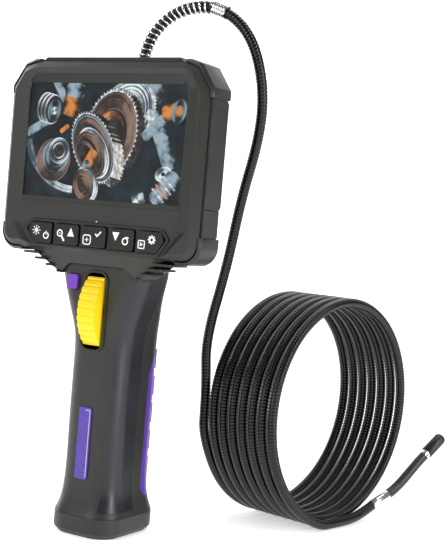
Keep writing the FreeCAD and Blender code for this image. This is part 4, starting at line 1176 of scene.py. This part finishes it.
@dataclass
class ProbeTip:
    """Crimp ferrule, links under a rubber sleeve, camera barrel, window and cap."""

    start: Point = (102.7, 153.5, 9.1)
    heading: float = 21.9
    crimp_rise: float = 24.8
    crimp_long: float = 14.8
    rises: tuple[float, ...] = (31.0, 36.5, 40.5, 42.0, 41.5, 40.0)
    camera_rise: float = 37.5
    first_hinge: float = 3.0
    pitch: float = 5.4
    collar_at: float = 4.2

    def along(self, rise: float) -> Vector:
        """Direction of a piece of the tip from its rise in degrees."""
        heading, slope = math.radians(self.heading), math.radians(rise)
        return Vector((math.sin(heading) * math.cos(slope),
                       math.cos(heading) * math.cos(slope), math.sin(slope)))

    def build(self) -> list[bpy.types.Object]:
        """Build every piece of the tip and return them from the cable to the cap."""
        pieces = []
        way = self.along(self.crimp_rise)
        crimp = lathe("crimp_ferrule", [
            (0, 2.6), (0, 3.15), (0.3, 3.3), (14.5, 3.3), (14.8, 3.15), (14.8, 2.6)], 40, axis_frame(mm(self.start), way))
        pieces.append(crimp.finish([Finish.PLATED], "handset", ["tip_ferrule"], "bright_steel"))
        crimp_end = Vector(self.start) + way * self.crimp_long
        hinge = crimp_end + way * self.first_hinge
        points, owners = [crimp_end], ["handset"]
        for number, rise in enumerate(self.rises, start=1):
            way = self.along(rise)
            points.append(hinge + way * self.pitch / 2)
            owners.append(f"link_{number}")
            dress(f"tip_link_{number}", Finish.TURNED)
            pieces.append(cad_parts[f"tip_link_{number}"])
            hinge = hinge + way * self.pitch
        way = self.along(self.camera_rise)
        collar = hinge + way * self.collar_at
        points.append(collar)
        owners.append("camera")
        pieces += self.sleeve(points)
        dress("lens_window", Finish.LENS)
        pieces.append(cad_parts["lens_window"])
        pieces.append(softened("camera_barrel", Finish.PLATED, "camera", 0.15,
                               slot="turned_steel"))
        pieces.append(self.cap(collar, way))
        return pieces

    def sleeve(self, points: list[Vector]) -> list[bpy.types.Object]:
        """Rubber sleeve in one length per hinge, each a straight tube between its two links."""
        made = []
        for number, (start, end) in enumerate(zip(points, points[1:])):
            run = (end - start).length
            outline = [(0, 2.86), (0, 3.2)]
            ribs = max(3, round(run / 0.9))
            for step in range(ribs):
                outline += [(run * (step + 0.25) / ribs, 3.2), (run * (step + 0.75) / ribs, 3.13)]
            outline += [(run, 3.2), (run, 2.86)]
            tube = lathe(f"tip_sleeve_{number + 1}", outline, 28,
                         axis_frame(start * MM, end - start))
            mesh = bpy.data.meshes.new(tube.name)
            for face in tube.shape.faces:
                face.smooth = True
            tube.shape.to_mesh(mesh)
            tube.shape.free()
            piece = bpy.data.objects.new(tube.name, mesh)
            bpy.context.scene.collection.objects.link(piece)
            mesh.materials.append(Finish.SLEEVE.material())
            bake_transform(piece)
            made.append(piece)
        return made

    def cap(self, collar: Vector, way: Vector) -> bpy.types.Object:
        """Black cap with a rounded nose over the camera barrel."""
        start = collar + way * 3.05
        outline = [(0, 3.45), (0, 3.8), (0.25, 4.0), (14.6, 4.0)]
        for step in range(1, 9):
            turn = math.radians(90 * step / 8)
            outline.append((14.6 + 2.9 * math.sin(turn), 1.1 + 2.9 * math.cos(turn)))
        outline += [(17.5, 0.0), (15.6, 0.0), (15.6, 3.45)]
        cap = lathe("lens_cap_shell", outline, 40, axis_frame(start * MM, way))
        return cap.finish([Finish.CAP], "cap", ["lens_cap"], "cap_plastic")


# ------------------------------------------------------------------------------ studio
@dataclass
class Studio:
    """Camera, pale floor and soft lights."""

    eye: Point = (403.06, -566.38, 179.89)
    yaw: float = 30.672
    pitch_down: float = 1.984
    roll: float = 4.863
    focal_px: float = 1200.0
    image_px: float = 446.0

    def camera(self) -> None:
        """Place the camera."""
        yaw, pitch, roll = (math.radians(a) for a in (self.yaw, self.pitch_down, self.roll))
        ahead = Vector((-math.sin(yaw) * math.cos(pitch), math.cos(yaw) * math.cos(pitch),
                        -math.sin(pitch)))
        right = Vector((math.cos(yaw), math.sin(yaw), 0))
        up = right.cross(ahead)
        side = math.cos(roll) * right + math.sin(roll) * up
        top = -math.sin(roll) * right + math.cos(roll) * up
        lens = bpy.data.cameras.new("camera")
        lens.sensor_fit = "HORIZONTAL"
        lens.sensor_width = 36.0
        lens.lens = 36.0 * self.focal_px / self.image_px
        lens.clip_start = 0.01
        made = bpy.data.objects.new("camera", lens)
        made.matrix_world = Matrix.Translation(mm(self.eye)) @ Matrix(
            (side, top, -ahead)).transposed().to_4x4()
        bpy.context.scene.collection.objects.link(made)
        bpy.context.scene.camera = made

    def floor(self) -> None:
        """Lay a wide pale floor."""
        shape = bmesh.new()
        bmesh.ops.create_grid(shape, x_segments=1, y_segments=1, size=6.0)
        mesh = bpy.data.meshes.new("floor")
        shape.to_mesh(mesh)
        shape.free()
        made = bpy.data.objects.new("floor", mesh)
        bpy.context.scene.collection.objects.link(made)
        paper = MouldedPlastic("studio floor, white paper", "#f2f2f1", "#f6f6f5", 0.9, 2.0, 0.01)
        mesh.materials.append(self.glowing(paper.build(), 0.5))

    @staticmethod
    def glowing(material: bpy.types.Material, strength: float) -> bpy.types.Material:
        """Let a studio surface glow, as paper lit from behind does."""
        for item in material.node_tree.nodes:
            if item.bl_idname == "ShaderNodeBsdfPrincipled":
                item.inputs["Emission Color"].default_value = linear("#ffffff")
                item.inputs["Emission Strength"].default_value = strength
        return material

    def backdrop(self) -> None:
        """Stand a white paper wall far behind the object."""
        shape = bmesh.new()
        bmesh.ops.create_grid(shape, x_segments=1, y_segments=1, size=3.0,
                              matrix=Matrix.Rotation(math.pi / 2, 4, "X"))
        turn = Matrix.Rotation(math.radians(self.yaw), 4, "Z")
        bmesh.ops.transform(shape, matrix=turn @ Matrix.Translation((0, 2.4, 2.9)),
                            verts=shape.verts)
        mesh = bpy.data.meshes.new("backdrop")
        shape.to_mesh(mesh)
        shape.free()
        made = bpy.data.objects.new("backdrop", mesh)
        bpy.context.scene.collection.objects.link(made)
        paper = MouldedPlastic("studio wall, white paper", "#f4f4f3", "#f8f8f7", 0.9, 2.0, 0.01)
        mesh.materials.append(self.glowing(paper.build(), 0.85))

    def light(self, name: str, place: Point, aim: Point, size: Pair, watts: float) -> None:
        """Hang one rectangular soft light."""
        lamp = bpy.data.lights.new(name, "AREA")
        lamp.shape = "RECTANGLE"
        lamp.size, lamp.size_y = size
        lamp.energy = watts
        made = bpy.data.objects.new(name, lamp)
        made.location = place
        look = Vector(aim) - Vector(place)
        made.rotation_euler = look.to_track_quat("-Z", "Y").to_euler()
        bpy.context.scene.collection.objects.link(made)

    def build(self) -> None:
        """Set up the camera, floor, surrounding light and lamps."""
        self.camera()
        self.floor()
        self.backdrop()
        world = bpy.data.worlds.new("studio")
        world.use_nodes = True
        world.node_tree.nodes["Background"].inputs["Color"].default_value = (1, 1, 1, 1)
        world.node_tree.nodes["Background"].inputs["Strength"].default_value = 0.22
        bpy.context.scene.world = world
        bpy.context.scene.view_settings.view_transform = "Standard"
        self.light("key softbox", (-0.5, -1.5, 1.1), (0, 0, 0.15), (0.7, 0.7), 17)
        self.light("side strip", (1.5, -0.1, 0.6), (0.05, 0.05, 0.15), (0.22, 1.3), 15)
        self.light("left strip", (-1.4, 0.2, 0.6), (0.05, 0.05, 0.15), (0.3, 1.2), 7)
        self.light("top box", (0.1, 0.4, 1.6), (0.05, 0.1, 0.1), (0.8, 0.5), 9)


def main() -> None:
    """Build the object and its studio."""
    logging.basicConfig(level=logging.INFO, format="%(name)s: %(message)s")
    Studio().build()
    ProbeCable().build()
    Head().build()
    ScreenPicture().build()
    KeyPad().build()
    Handle().build()
    SteeringDrive().build()


if __name__ == "__main__":
    main()
